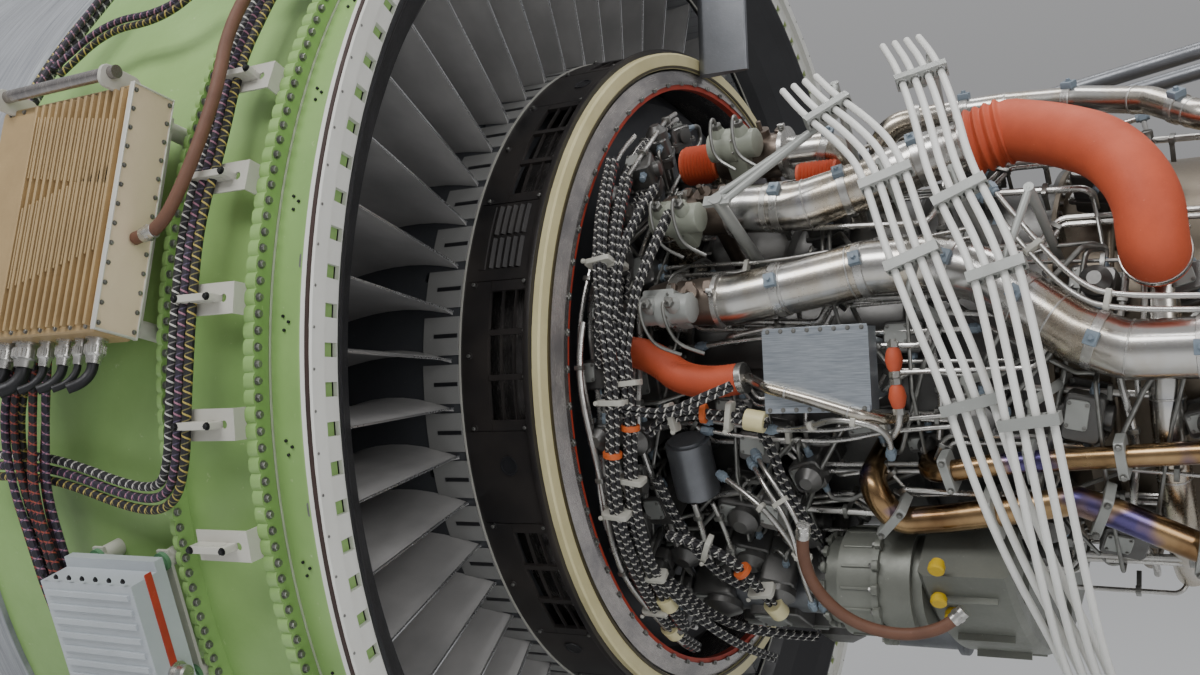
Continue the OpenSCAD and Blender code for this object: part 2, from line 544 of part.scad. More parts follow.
module control_box_handle() color([0.78, 0.79, 0.80]) rotate([90 - box_a, 0, 0]) translate([box_x, box_w / 2 + seat, box_z])
    for (x = [40, box_len - 60]) {
        difference() {
            translate([x - 18, 0, 20]) cube([36, 8, box_h + 40]);
            translate([x, -5, box_h + 44]) rotate([-90, 0, 0]) cylinder(r = 9, h = 30, $fn = 32);
        }
        translate([0, 0, 0]) bar([40, 24, box_h + 10], [box_len - 60, 24, box_h + 10], 12);
        bar([x, 7, box_h + 10], [x, 25, box_h + 10], 9);
    }
module box_isolators() color([0.45, 0.55, 0.50]) {
    for (b = [[box_a, box_x, box_len, box_w], [ign_a, ign_x, ign_len, ign_w]]) rotate([90 - b[0], 0, 0])
        box_posts(b[1], b[2], b[3]) translate([0, 0, box_foot_r + seat]) {
            cylinder(r = 22, h = isolator_h * 0.3, $fn = 32);
            cylinder(r = 15, h = isolator_h, $fn = 32);
        }
}
module ignition_box() color([0.70, 0.73, 0.76]) rotate([90 - ign_a, 0, 0]) translate([ign_x, 0, ign_z]) difference() {
    union() {
        translate([0, -ign_w / 2, 0]) cube([ign_len, ign_w, ign_h]);
        for (i = [0 : 7]) translate([14, -ign_w / 2 + 34 + i * (ign_w - 90) / 7, ign_h - 1]) cube([ign_len - 28, 12, 7]);
    }
    for (y = [-ign_w / 2 - 1, ign_w / 2 - 24]) translate([-1, y, 24]) cube([ign_len + 2, 25, ign_h]);
}
module case_brackets() color([0.70, 0.71, 0.72]) {
    for (b = [[box_a, box_x, box_len, box_w], [ign_a, ign_x, ign_len, ign_w]]) difference() {
        rotate([90 - b[0], 0, 0]) {
            box_posts(b[1], b[2], b[3]) translate([0, 0, 1500]) cylinder(r = 20, h = box_foot_r - 1500, $fn = 32);
            for (dx = [0.14, 0.86]) translate([b[1] + b[2] * dx - 18, -b[3] * 0.42 - 24, box_foot_r - 8])
                cube([36, b[3] * 0.84 + 48, 8]);
        }
        core_space(case_r + seat);
    }
    for (a = [22, 14, 5.2, -3.5, -12, 32, 44, 56, 64]) at(aft_flange_x - flange_t - seat, 0, a) difference() {
        union() {
            translate([-4, -34, case_r + 20]) cube([4, 68, flange_rise + 10]);
            translate([-150, -34, flange_r + 26]) cube([150, 68, 4]);
        }
        for (x = [-60, -30]) translate([x, 0, flange_r]) cylinder(r = 9, h = 60, $fn = 24);
    }
}

// CABLES, HOSES AND SMALL PIPES
module clip(p, i, r, case) {
    d = unit(p[i + 1] - p[i]);
    m = (p[i] + p[i + 1]) / 2;
    side = unit(cross(d, outward(m)));
    difference() {
        union() {
            in_frame(m - d * 8, side, cross(d, side), d) cylinder(r = r + 5, h = 16, $fn = 32);
            at(m[0], 0, atan2(m[2], -m[1])) cylinder(r = 6, h = norm([m[1], m[2]]), $fn = 24);
        }
        in_frame(m - d * 60, side, cross(d, side), d) cylinder(r = r + seat, h = 120, $fn = 32);
        core_space(case + seat);
    }
}
harness_line = flange_r + 46;
case_run = route([each [for (a = [76 : -8 : 28]) [1690, harness_line, a]],
    [1675, harness_line, 23], [1690, harness_line, 16], [1662, harness_line, 11], [1660, harness_line, 5],
    [1646, harness_line, -2], [1630, harness_line, -6], [1575, harness_line - 10, -8.6], [1450, harness_line - 24, -8.8],
    [1235, harness_line - 30, -7], [1095, harness_line - 30, -6.4], [900, harness_line - 30, -6.4]]);
function aside(p, s) = [for (i = [0 : len(p) - 1]) let (t = tangent(p, i)) p[i] + s * unit(cross(t, outward(p[i])))];
module case_harness() color([0.13, 0.12, 0.14]) for (s = [-26, 0, 26]) {
    path = aside(smooth(case_run, 2), s);
    cord(path, 10);
    clip(path, 1, 10, case_r);
    clip(path, len(path) - 4, 10, case_r + wrap_t);
}
hose_line = harness_line + 47;
case_hose = route([[1756, hose_line - 16, 52], [1754, hose_line - 6, 41], [1700, hose_line, 30], [1682, hose_line, 25],
    [1712, hose_line, 20], [1696, hose_line, 15.6], [1664, hose_line, 12.4], [1620, hose_line, 10],
    [1546, hose_line, 9.5]]);
gear_line = feeder_line_r + 22;
gear_hose = route([[2690, gear_line, -24], [2670, gear_line, -29], [2680, gear_line, -35], [2740, gear_line, -41],
    [2850, gear_line, -43.5], [2950, gear_line - 12, -42.5], [3000, gear_line - 52, -41]]);
module brown_hoses() color([0.36, 0.21, 0.16]) {
    for (h = [[case_hose, 15, case_r], [gear_hose, 15, comp_r]]) {
        path = smooth(h[0], 3);
        cord(path, h[1], 8);
        clip(path, 1, h[1], h[2]);
    }
}

valve_a = [56, 36, 13.6];
valve_x = [2440, 2350, 2360];
valve_bore_r = duct_pipe_r - 8;
valve_boss_z = duct_pipe_r + 22;
function valve_exit(v) = [for (d = [seat, 36]) [valve_x[v] + valve_len / 2 + d, duct_line_r, valve_a[v]]];
upper_duct = route([each valve_exit(1), [2600, duct_line_r, 35],
    [2777, duct_line_r + 5, 39], [2900, duct_line_r + 15, 43.5], [3010, duct_line_r + 30, 45]]);
lower_duct = route([each valve_exit(2), [2630, duct_line_r, 15.7],
    [2807, duct_line_r, 18.2], [2953, duct_line_r, 18.4], [3082, duct_line_r, 14.9], [3181, duct_line_r, 8.5],
    [3275, duct_line_r, 3], [3380, duct_line_r, -0.6], [3760, duct_line_r, -0.8], [3760, hot_r + seat, -0.8]]);
third_duct = route([each valve_exit(0), [2640, duct_line_r, 56],
    [2640, comp_r + seat, 56]]);
top_duct = route([[2720, comp_r + seat, 66], [2720, duct_line_r, 66], [2930, duct_line_r, 71.5],
    [3060, duct_line_r, 71.6], [3250, duct_line_r, 66], [3416, duct_line_r, 58.5], [3529, duct_line_r, 48.9],
    [3700, duct_line_r, 42], [3700, hot_r + seat, 42]]);
manifold_r = comb_r + 95;
manifold_x = 3443;
orange_end_r = duct_line_r - 30;
orange_end_a = 17;
inlet_bend = 60;
function valve_inlet(v) = route(concat([[valve_x[v] - valve_len / 2 - seat, duct_line_r, valve_a[v]],
    [v == 0 ? 2300 + seat : valve_x[v] - 150, duct_line_r, valve_a[v]]],
    v == 0 ? [] : [[valve_x[v] - 150, vane_ring_r + seat, valve_a[v]]]));
module steel_ducts() color([0.72, 0.71, 0.70]) {
    cord(bent(upper_duct, 190), duct_pipe_r, 14);
    cord(bent(lower_duct, 110), duct_pipe_r, 14);
    cord(bent(third_duct, 90), duct_pipe_r - 10, 12);
    cord(bent(top_duct, 80), 34, 10);
    for (v = [0 : 2]) cord(bent(valve_inlet(v), inlet_bend), 44, 12);
    rotate([-90 - 19, 0, 0]) rotate([0, 90, 0]) rotate_extrude(angle = 84, $fn = big_fn)
        translate([manifold_r, manifold_x]) circle(38, $fn = pipe_fn);
    at(manifold_x, manifold_r, orange_end_a) cylinder(r = 48, h = orange_end_r - seat - manifold_r, $fn = pipe_fn);
    for (a = [8, -28, -55]) foot(manifold_x, a, 10, comb_r, manifold_r);
}
module duct_couplings() color([0.62, 0.62, 0.62]) {
    for (c = [[upper_duct, 1, 60, duct_pipe_r], [upper_duct, 4, 60, duct_pipe_r], [lower_duct, 1, 60, duct_pipe_r],
            [lower_duct, 4, 60, duct_pipe_r], [lower_duct, 8, 160, duct_pipe_r], [top_duct, 1, 100, 34]]) {
        d = unit(c[0][c[1] + 1] - c[0][c[1]]);
        p = c[0][c[1]] + d * c[2];
        side = unit(cross(d, outward(p)));
        in_frame(p, side, cross(d, side), d) difference() {
            cylinder(r = c[3] + 9, h = 16, $fn = pipe_fn);
            translate([0, 0, -5]) cylinder(r = c[3] + seat, h = 40, $fn = pipe_fn);
        }
    }
}
upper_end = upper_duct[len(upper_duct) - 1];
upper_way = unit(upper_end - upper_duct[len(upper_duct) - 2]);
orange_run = concat([for (d = [seat, 116]) upper_end + upper_way * d], route([[3250, duct_line_r + 60, 41],
    [3370, duct_line_r + 66, 34], [3438, duct_line_r + 66, 28], [manifold_x, duct_line_r + 80, orange_end_a],
    [manifold_x, orange_end_r, orange_end_a]]));
bellows_start = 12;
bellows_pitch = 24;
orange_fold = 9;
module orange_duct() color([0.80, 0.30, 0.14]) {
    path = bent(orange_run, 90);
    d = unit(path[1] - path[0]);
    folds = [for (i = [0 : 2 * bellows_folds]) path[0] + d * (bellows_start + i * bellows_pitch / 2)];
    radii = [for (i = [0 : 2 * bellows_folds]) i % 2 == 1 ? orange_r + orange_fold : orange_r];
    tail = [for (i = [1 : len(path) - 1]) path[i]];
    cord(concat([path[0]], folds, tail), concat([orange_r], radii, [for (p = tail) orange_r]), 16);
}
elbow_run = route([[2121, 720, 3.6], [2196, 720, 3.3], [2261, 720, 1], [2311, 720, -2.4], [2395, 720, -3.7],
    [2492, 720, -2.9]]);
module seal_boots() color([0.80, 0.29, 0.13]) {
    path = smooth(elbow_run, 2);
    cord(path, 34, 12);
    clip(path, 8, 34, comp_r);
    for (b = [[2240, 56, 52], [2620, 45, 30]]) {
        at(b[0] - 50, duct_line_r, b[1]) rotate([0, 90, 0]) rotate_extrude($fn = pipe_fn)
            polygon(concat([[0, 0]], [for (i = [0 : 4]) each [[b[2] - 8, 22 * i], [b[2], 22 * i + 11]]],
                [[b[2] - 8, 110], [0, 110]]));
        foot(b[0] - 20, b[1], 10, comp_r, duct_line_r - 10);
    }
}
module valve_bodies() color([0.66, 0.67, 0.66]) for (v = [0 : 2]) difference() {
    union() {
        at(valve_x[v], duct_line_r, valve_a[v]) {
            translate([-valve_len / 2, 0, 0]) rotate([0, 90, 0]) cylinder(r = duct_pipe_r, h = valve_len, $fn = pipe_fn);
            for (x = [-valve_len / 2, valve_len / 2 - 10]) translate([x, 0, 0]) rotate([0, 90, 0])
                cylinder(r = duct_pipe_r + 10, h = 10, $fn = pipe_fn);
            cylinder(r = 24, h = valve_boss_z, $fn = pipe_fn);
        }
        at(valve_x[v], 0, valve_a[v]) cylinder(r = 20, h = duct_line_r, $fn = pipe_fn);
    }
    at(valve_x[v], duct_line_r, valve_a[v]) {
        translate([-valve_len, 0, 0]) rotate([0, 90, 0]) cylinder(r = valve_bore_r, h = 2 * valve_len, $fn = pipe_fn);
        translate([0, 0, -valve_bore_r - 12]) cylinder(r = valve_shaft_r + run_gap, h = 300, $fn = 32);
    }
    core_space(comp_r + seat);
}
module valve_actuators() color([0.46, 0.49, 0.46]) for (v = [0 : 2]) at(valve_x[v], duct_line_r, valve_a[v])
    translate([0, 0, valve_boss_z + seat]) difference() {
        union() {
            translate([-120, -34, 0]) cube([175, 68, 46]);
            for (x = [-90, -30]) translate([x, 0, 45]) {
                cylinder(r = 26, h = 22, $fn = 32);
                cylinder(r = 17, h = 36, $fn = 32);
            }
            translate([-150, 0, 23]) rotate([0, 90, 0]) cylinder(r = 21, h = 40, $fn = 32);
            for (y = [-44, 44]) translate([-70, y, 20]) rotate([0, 90, 0]) cylinder(r = 13, h = 80, $fn = 32);
        }
        translate([0, 0, -10]) cylinder(r = valve_shaft_r + run_gap, h = 40, $fn = 32);
    }
module valve_disc(v) color([0.70, 0.70, 0.72]) at(valve_x[v], duct_line_r, valve_a[v]) {
    translate([-3, 0, 0]) rotate([0, 90, 0]) cylinder(r = valve_bore_r - 0.6, h = 6, $fn = pipe_fn);
    translate([0, 0, -valve_bore_r - 10]) cylinder(r = valve_shaft_r, h = valve_bore_r + 10 + valve_boss_z + 26, $fn = 32);
}
module valve_disc_1() valve_disc(0);
module valve_disc_2() valve_disc(1);
module valve_disc_3() valve_disc(2);

feeder_left = [[2620, 0, 50], [2704, 0, 42.5], [2810, 0, 35.4], [2890, 0, 28.9], [2963, 0, 15.9], [3030, 0, 5],
    [3082, 0, -3.5], [3135, 0, -17.9], [3185, 0, -30.4], [3228, 0, -41.8], [3245, 0, -52]];
feeder_right = [[2840, 0, 62], [2925, 0, 49.9], [3000, 0, 37], [3054, 0, 25.2], [3152, 8, 12.7], [3190, 24, 3],
    [3215, 33, -6.2], [3237, 34, -17.9], [3250, 34, -30.2], [3256, 34, -41.8], [3262, 34, -52]];
function feeder_path(list) = smooth(route([for (p = list) [p[0], feeder_line_r + p[1], p[2]]]), 2);
module feeder_cables() color([0.90, 0.90, 0.89]) for (g = [feeder_left, feeder_right])
    for (k = [-1.5 : 1 : 1.5]) cord(aside(feeder_path(g), k * feeder_pitch), feeder_r);
module feeder_clamp(path, i, foot_x, foot_a, case) {
    d = unit(path[i + 1] - path[i]);
    m = (path[i] + path[i + 1]) / 2;
    side = unit(cross(d, outward(m)));
    up = cross(side, d);
    difference() {
        union() {
            in_frame(m, side, up, d) translate([-2 * feeder_pitch, -feeder_r - 5, -12])
                cube([4 * feeder_pitch, 2 * feeder_r + 10, 24]);
            bar(m - up * (feeder_r + 12), polar(foot_x, norm([m[1], m[2]]) - feeder_r - 14, foot_a), 9);
            at(foot_x, 0, foot_a) cylinder(r = 11, h = norm([m[1], m[2]]) - feeder_r - 6, $fn = 32);
        }
        for (k = [-1.5 : 1 : 1.5]) let (p = aside(path, k * feeder_pitch), e = unit(p[i + 1] - p[i]),
            s = unit(cross(e, outward(m))), q = (p[i] + p[i + 1]) / 2)
            in_frame(q - e * 60, s, cross(e, s), e) cylinder(r = feeder_r + seat, h = 120, $fn = 32);
        core_space(case + seat);
    }
}
module feeder_clamps() color([0.62, 0.63, 0.64]) {
    left = feeder_path(feeder_left);
    right = feeder_path(feeder_right);
    feeder_clamp(left, 2, 2704, 51, comp_r);
    feeder_clamp(left, 6, 2880, 30, comp_r);
    feeder_clamp(left, 8, 2963, 8, comp_r);
    feeder_clamp(left, 12, 3082, -4, comp_r);
    feeder_clamp(right, 2, 2930, 57, comp_r);
    feeder_clamp(right, 6, 3050, 27, comp_r);
    feeder_clamp(right, 8, 3222, 22, comb_r);
    feeder_clamp(right, 12, 3222, -7, comb_r);
    clamp_x = 2455;
    d = unit(left[3] - left[2]);
    m = (left[2] + left[3]) / 2;
    side = unit(cross(d, outward(m)));
    difference() {
        union() {
            for (s = [-22, 22]) bar(m - cross(side, d) * (feeder_r + 9) + side * s, polar(clamp_x + s, 868, 28), 10);
            at(clamp_x, 0, 28) cylinder(r = 16, h = 880, $fn = 32);
            at(clamp_x, 862, 28) translate([-36, -14, 0]) cube([72, 28, 12]);
        }
        core_space(comp_r + seat);
    }
}
module sheet_box() color([0.60, 0.61, 0.63]) difference() {
    union() {
        at(2700, comp_r + 250, -1.8) translate([-133, -98, 0]) cube([266, 196, 58]);
        for (x = [2600, 2800]) for (a = [4, -8]) at(x, 0, a) cylinder(r = 10, h = comp_r + 260, $fn = 24);
    }
    core_space(comp_r + seat);
}
bronze_low = route([[2768, comp_r + seat, -26], [2768, duct_line_r, -26], [2820, duct_line_r, -35],
    [2951, duct_line_r, -33.7], [3072, duct_line_r, -32], [3243, duct_line_r, -29], [3330, duct_line_r, -32],
    [3488, duct_line_r, -39.7], [3700, duct_line_r, -42], [3700, hot_r + seat, -42]]);
bronze_high = route([[2900, comp_r + seat, -25], [2900, duct_line_r - 28, -25], [3044, duct_line_r - 28, -23],
    [3149, duct_line_r - 28, -22], [3505, duct_line_r - 28, -20.2], [3680, duct_line_r - 28, -20.2],
    [3680, hot_r + seat, -20.2]]);
module bronze_ducts() color([0.55, 0.44, 0.32]) {
    cord(bent(bronze_low, 60), 34, 10);
    cord(bent(bronze_high, 60), 26, 10);
}
tube_runs = [
    [[3104, 820, 26.6], [3162, 820, 20.7], [3227, 820, 14.4], [3298, 820, 8.8], [3367, 820, 6.3], [3600, 820, 5.3]],
    [[2555, 740, -13], [2645, 745, -13], [2743, 800, -10], [2845, 800, -11.5], [2862, 765, -14.5], [2854, 745, -18]],
    [[2174, 620, 25], [2300, 620, 25], [2500, 620, 24], [2700, 620, 26], [2900, 620, 27], [3060, 620, 29]],
    [[2310, 600, 5], [2400, 600, 6], [2540, 590, 7], [2700, 590, 6.5], [2900, 600, 6], [3040, 600, 6]],
    [[2330, 640, -14], [2450, 640, -16], [2600, 640, -17], [2700, 640, -17], [2820, 630, -15], [3100, 620, -14]],
    [[2380, 700, -24], [2500, 760, -28], [2560, 780, -34], [2580, 780, -44], [2570, 760, -52]],
    [[2480, 700, -20], [2540, 770, -23], [2600, 800, -30], [2600, 820, -40], [2590, 820, -50]],
    [[2265, 560, 66], [2300, 560, 68.5], [2450, 560, 70], [2600, 560, 74], [2800, 560, 76], [3050, 560, 78],
     [3380, 620, 80]]];
module slim_tubes() color([0.74, 0.75, 0.76]) for (t = tube_runs) {
    path = smooth(route(t), 2);
    cord(path, 9);
    clip(path, 1, 9, comp_r);
    clip(path, len(path) - 2, 9, t[len(t) - 1][0] > comb_x ? comb_r : comp_r);
}
harness_runs = [
    [[2105, 880, 40], [2125, 880, 30], [2144, 880, 19.8], [2170, 880, 10], [2194, 880, 2.8], [2198, 880, -8.4],
     [2165, 880, -18.3], [2145, 880, -29.4], [2140, 870, -43], [2120, 860, -58], [2120, 860, -70]],
    [[2150, 850, 37], [2160, 850, 25], [2180, 850, 14], [2220, 850, 2], [2230, 850, -8], [2200, 850, -20],
     [2180, 850, -31], [2170, 850, -44], [2165, 850, -58]],
    [[2252, 812, -12], [2300, 810, -9.5], [2376, 800, -8.6], [2436, 790, -9], [2570, 780, -11]],
    [[2230, 800, -33.5], [2300, 800, -35], [2380, 800, -38], [2430, 800, -45], [2450, 800, -58]]];
module core_harness() color([0.10, 0.10, 0.10]) for (t = harness_runs) {
    path = smooth(route(t), 2);
    cord(path, 12);
    clip(path, 1, 12, comp_r);
    clip(path, len(path) - 3, 12, comp_r);
}

// ROTORS
function ogive(t) = hub_r * pow(t, 0.72);
module spinner() color([0.22, 0.23, 0.25]) turned(concat([for (i = [0 : 10]) [fan_x - seat - spinner_len * (1 - i / 10),
    ogive(i / 10)]], [for (i = [10 : -1 : 0]) [fan_x - seat - (spinner_len - 14) * (1 - i / 10),
    max(0, ogive(i / 10) - 10)]]));
module fan_disc() color([0.48, 0.49, 0.52]) turned([[fan_x, low_stub_r + seat], [fan_x, 240], [fan_x + 60, 300],
    [fan_x + 20, 420], [fan_x, 440], [fan_x, hub_r], [fan_end, hub_r], [fan_end, 440], [fan_end - 60, 420],
    [fan_end - 130, 300], [fan_end - 60, 240], [fan_end - 60, low_stub_r + seat]]);
blade_sections = 6;
blade_tip_r = duct_r - tip_gap;
root_lift = pow(root_chord * sin(root_stagger), 2) / (8 * hub_r) + seat;
section_outline = [[0, 0], [0.08, 0.5], [0.32, 1], [0.7, 0.75], [1, 0.05], [1, -0.05], [0.7, -0.75],
    [0.32, -1], [0.08, -0.5]];
function blade_chord(s) = s < 0.6 ? root_chord + (mid_chord - root_chord) * sin(150 * s)
    : mid_chord + (tip_chord - mid_chord) * pow((s - 0.6) / 0.4, 2);
function blade_stagger(s) = root_stagger + (tip_stagger - root_stagger) * pow(s, 0.9);
function blade_half(s) = 19 * (1 - s) + 4;
function blade_bow(s) = 34 * (1 - s) + 8;
function blade_point(s, q) = let (r = hub_r + root_lift + s * (blade_tip_r - hub_r - root_lift),
    c = (q[0] - 0.5) * blade_chord(s), n = q[1] * blade_half(s) + blade_bow(s) * (1 - pow(2 * q[0] - 1, 2)),
    g = blade_stagger(s), x = c * cos(g) - n * sin(g), w = c * sin(g) + n * cos(g),
    sweep = 40 * sin(180 * s) - 30 * s * s)
    polar(fan_x + root_chord / 2 + x - sweep, r, w / r * 180 / PI);
module fan_blade() {
    m = len(section_outline);
    pts = [for (k = [0 : blade_sections]) for (q = section_outline) blade_point(k / blade_sections, q)];
    walls = [for (k = [0 : blade_sections - 1]) for (j = [0 : m - 1]) let (i = (j + 1) % m)
        each [[k * m + j, k * m + i, (k + 1) * m + i], [k * m + j, (k + 1) * m + i, (k + 1) * m + j]]];
    polyhedron(pts, concat(walls, [[for (j = [m - 1 : -1 : 0]) j], [for (j = [0 : m - 1]) blade_sections * m + j]]),
        convexity = 6);
}
module fan_blades() color([0.20, 0.21, 0.23]) for (i = [0 : blade_count - 1])
    rotate([360 * i / blade_count, 0, 0]) fan_blade();
module bladed_row(x, t, r_in, r_hub, r_tip, n) cross_plate(x, t) difference() {
    polygon([for (i = [0 : n - 1]) let (a = 360 * i / n, w = 90 / n) each [
        [r_hub * cos(a - w), r_hub * sin(a - w)], [r_tip * cos(a - w * 0.25), r_tip * sin(a - w * 0.25)],
        [r_tip * cos(a + w * 0.25), r_tip * sin(a + w * 0.25)], [r_hub * cos(a + w), r_hub * sin(a + w)]]]);
    circle(r_in, $fn = big_fn);
}
module booster_rotor() color([0.52, 0.53, 0.55]) {
    front = fan_end + seat;
    turned([[front, 380], [front, hub_r - 4], [fan_end + 60, hub_r + 20], [fan_end + 210, 590], [vane_x - 30, 592],
        [vane_x - 30, 560], [fan_end + 220, 560], [fan_end + 40, 460], [fan_end + 40, 380]]);
    for (k = [0 : 2]) bladed_row(fan_end + 290 + 110 * k, 46, 570, 594, 700 - 8 * k, 36);
}
module low_shaft() color([0.60, 0.60, 0.62]) turned([[fan_x + 20, 0], [fan_x + 20, low_stub_r], [1620, low_stub_r],
    [1700, low_shaft_r], [rear_frame_x + 130, low_shaft_r], [rear_frame_x + 130, 0]]);
module low_turbine() color([0.50, 0.45, 0.40]) {
    low_turbine_x = turb_x + 340;
    turned([[low_turbine_x, 380], [rear_frame_x - 20, 480], [rear_frame_x - 20, 450], [low_turbine_x + 420, 430], [low_turbine_x + 380, 200],
        [low_turbine_x + 420, 90], [low_turbine_x + 420, low_shaft_r + seat], [low_turbine_x + 330, low_shaft_r + seat], [low_turbine_x + 330, 90],
        [low_turbine_x + 355, 200], [low_turbine_x + 370, 425], [low_turbine_x, 350]]);
    for (k = [0 : 4]) bladed_row(low_turbine_x + 20 + 150 * k, 40, 360 + 21 * k, 390 + 21 * k, turbine_wall_r(low_turbine_x + 20 + 150 * k) - 30,
        k == 4 ? 54 : 18);
}
module high_compressor() color([0.55, 0.56, 0.58]) {
    turned([[core_x - 60, 80], [core_x - 60, high_stub_r], [core_x + 20, high_stub_r], [core_x + 60, 290],
        [comb_x - 60, 390], [comb_x - 60, 360], [core_x + 100, 262], [core_x + 60, 150], [core_x + 60, 80]]);
    for (k = [0 : 7]) bladed_row(core_x + 80 + 110 * k, 36, 272 + 11 * k, 300 + 11 * k, comp_r - core_wall - 12 - 3 * k, 18);
    turned([[comb_x - 90, 350], [comb_x - 60, 380], [comb_x - 30, 200], [comb_x + 20, 130], [turb_x + 30, 130],
        [turb_x + 30, 110], [comb_x, 110], [comb_x - 60, 190]]);
}
module high_turbine() color([0.52, 0.47, 0.42]) {
    turned([[turb_x + 30 + seat, 80], [turb_x + 30 + seat, 140], [turb_x + 60, 160], [turb_x + 70, 400],
        [turb_x + 140, 400], [turb_x + 150, 160], [turb_x + 180, high_stub_r], [turb_x + 255, high_stub_r],
        [turb_x + 255, 80]]);
    bladed_row(turb_x + 80, 50, 380, 404, hot_r - 26, 36);
}

fan_case();
containment_wrap();
duct_liner();
rear_case();
rear_ring();
rear_lip();
outlet_guide_vanes();
splitter();
fan_hub_frame();
hub_fairing();
cowl_support_ring();
frame_ring();
fire_seal();
top_strut();
forward_mount();
aft_mount();
thrust_links();
compressor_case();
combustor_case();
combustor_liner();
turbine_case();
turbine_rear_frame();
exhaust_nozzle();
exhaust_cone();
main_bearings();
accessory_gearbox();
generator();
gearbox_accessories();
oil_tank();
control_box();
control_box_cover();
control_box_handle();
box_isolators();
ignition_box();
case_brackets();
case_harness();
brown_hoses();
steel_ducts();
duct_couplings();
orange_duct();
seal_boots();
valve_bodies();
valve_actuators();
valve_disc_1();
valve_disc_2();
valve_disc_3();
feeder_cables();
feeder_clamps();
sheet_box();
bronze_ducts();
slim_tubes();
core_harness();
spinner();
fan_disc();
fan_blades();
booster_rotor();
low_shaft();
low_turbine();
high_compressor();
high_turbine();
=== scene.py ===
import math

import bpy
from mathutils import Matrix, Vector


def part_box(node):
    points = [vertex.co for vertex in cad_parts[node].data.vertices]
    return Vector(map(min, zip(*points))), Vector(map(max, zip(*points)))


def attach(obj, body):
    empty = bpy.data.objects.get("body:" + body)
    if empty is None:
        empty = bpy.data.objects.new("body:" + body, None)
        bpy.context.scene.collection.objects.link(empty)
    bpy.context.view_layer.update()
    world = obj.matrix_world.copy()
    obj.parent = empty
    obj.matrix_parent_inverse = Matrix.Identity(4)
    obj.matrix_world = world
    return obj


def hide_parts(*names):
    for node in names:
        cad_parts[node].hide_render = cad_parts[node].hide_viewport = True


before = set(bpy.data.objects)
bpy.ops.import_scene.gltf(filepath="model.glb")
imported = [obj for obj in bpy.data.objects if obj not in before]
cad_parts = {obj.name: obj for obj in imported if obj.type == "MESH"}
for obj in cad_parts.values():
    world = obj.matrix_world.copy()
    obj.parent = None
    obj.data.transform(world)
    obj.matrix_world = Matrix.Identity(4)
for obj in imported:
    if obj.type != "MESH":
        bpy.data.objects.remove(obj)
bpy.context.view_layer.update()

# CAMERA
# The eye stands close to the left side of the engine, just aft of the fan case, level with the shaft
# and turned forward, so the fan duct opens towards it and the piped core runs off to the right.
EYE = Vector((3.75816607, -3.60173476, -0.07721453))
YAW, PITCH, ROLL = (math.radians(d) for d in (-30.26344185, 2.80495482, -1.77907491))
ahead = Vector((math.sin(YAW) * math.cos(PITCH), math.cos(YAW) * math.cos(PITCH), math.sin(PITCH)))
level = Vector((math.cos(YAW), -math.sin(YAW), 0))
upright = level.cross(ahead)
across = math.cos(ROLL) * level + math.sin(ROLL) * upright
upwards = math.cos(ROLL) * upright - math.sin(ROLL) * level
eye = bpy.data.objects.new("eye", bpy.data.cameras.new("eye"))
eye.data.lens, eye.data.sensor_width = 37.5, 36
eye.data.clip_start, eye.data.clip_end = 0.05, 200
eye.matrix_world = Matrix((across, upwards, -ahead)).transposed().to_4x4()
eye.matrix_world.translation = EYE
bpy.context.scene.collection.objects.link(eye)
bpy.context.scene.camera = eye

# FLOOR AND LIGHT
# A plain pale floor well under the hanging engine, an even sky that is brighter overhead, and three
# soft boxes that give the metal its long highlights.
FLOOR_Z = -2.3


def plain(name, colour, rough):
    material = bpy.data.materials.new(name)
    material.use_nodes = True
    shader = material.node_tree.nodes["Principled BSDF"]
    shader.inputs["Base Color"].default_value = (*colour, 1)
    shader.inputs["Roughness"].default_value = rough
    return material


floor_mesh = bpy.data.meshes.new("floor")
floor_mesh.from_pydata([(-40, -40, FLOOR_Z), (40, -40, FLOOR_Z), (40, 40, FLOOR_Z), (-40, 40, FLOOR_Z)], [],
                       [(0, 1, 2, 3)])
floor_mesh.materials.append(plain("pale_floor", (0.78, 0.79, 0.80), 0.7))
floor = bpy.data.objects.new("floor", floor_mesh)
bpy.context.scene.collection.objects.link(floor)

sky = bpy.data.worlds.new("studio")
bpy.context.scene.world = sky
sky.use_nodes = True
sky_nodes, sky_links = sky.node_tree.nodes, sky.node_tree.links
sky_way = sky_nodes.new("ShaderNodeTexCoord")
sky_split = sky_nodes.new("ShaderNodeSeparateXYZ")
sky_ramp = sky_nodes.new("ShaderNodeValToRGB")
sky_links.new(sky_way.outputs["Generated"], sky_split.inputs[0])
sky_links.new(sky_split.outputs["Z"], sky_ramp.inputs["Fac"])
sky_links.new(sky_ramp.outputs["Color"], sky_nodes["Background"].inputs["Color"])
for sky_stop, height, shade in zip(sky_ramp.color_ramp.elements, (0.0, 0.75),
                                   ((0.43, 0.43, 0.44, 1), (0.97, 0.97, 0.98, 1))):
    sky_stop.position, sky_stop.color = height, shade
sky_nodes["Background"].inputs["Strength"].default_value = 0.55

for lamp_name, lamp_at, lamp_size, lamp_watts in [
        ("key_box", (1.5, -6.0, 5.0), (5.0, 2.4), 330), ("side_box", (8.5, -5.0, 2.0), (2.4, 4.0), 130),
        ("top_box", (2.5, 0.5, 7.0), (6.0, 1.4), 200)]:
    lamp = bpy.data.objects.new(lamp_name, bpy.data.lights.new(lamp_name, "AREA"))
    lamp.data.shape, lamp.data.size, lamp.data.size_y = "RECTANGLE", *lamp_size
    lamp.data.energy = lamp_watts
    lamp.location = lamp_at
    lamp.rotation_mode = "QUATERNION"
    lamp.rotation_quaternion = (Vector((2.6, 0, 0)) - Vector(lamp_at)).to_track_quat("-Z", "Y")
    bpy.context.scene.collection.objects.link(lamp)

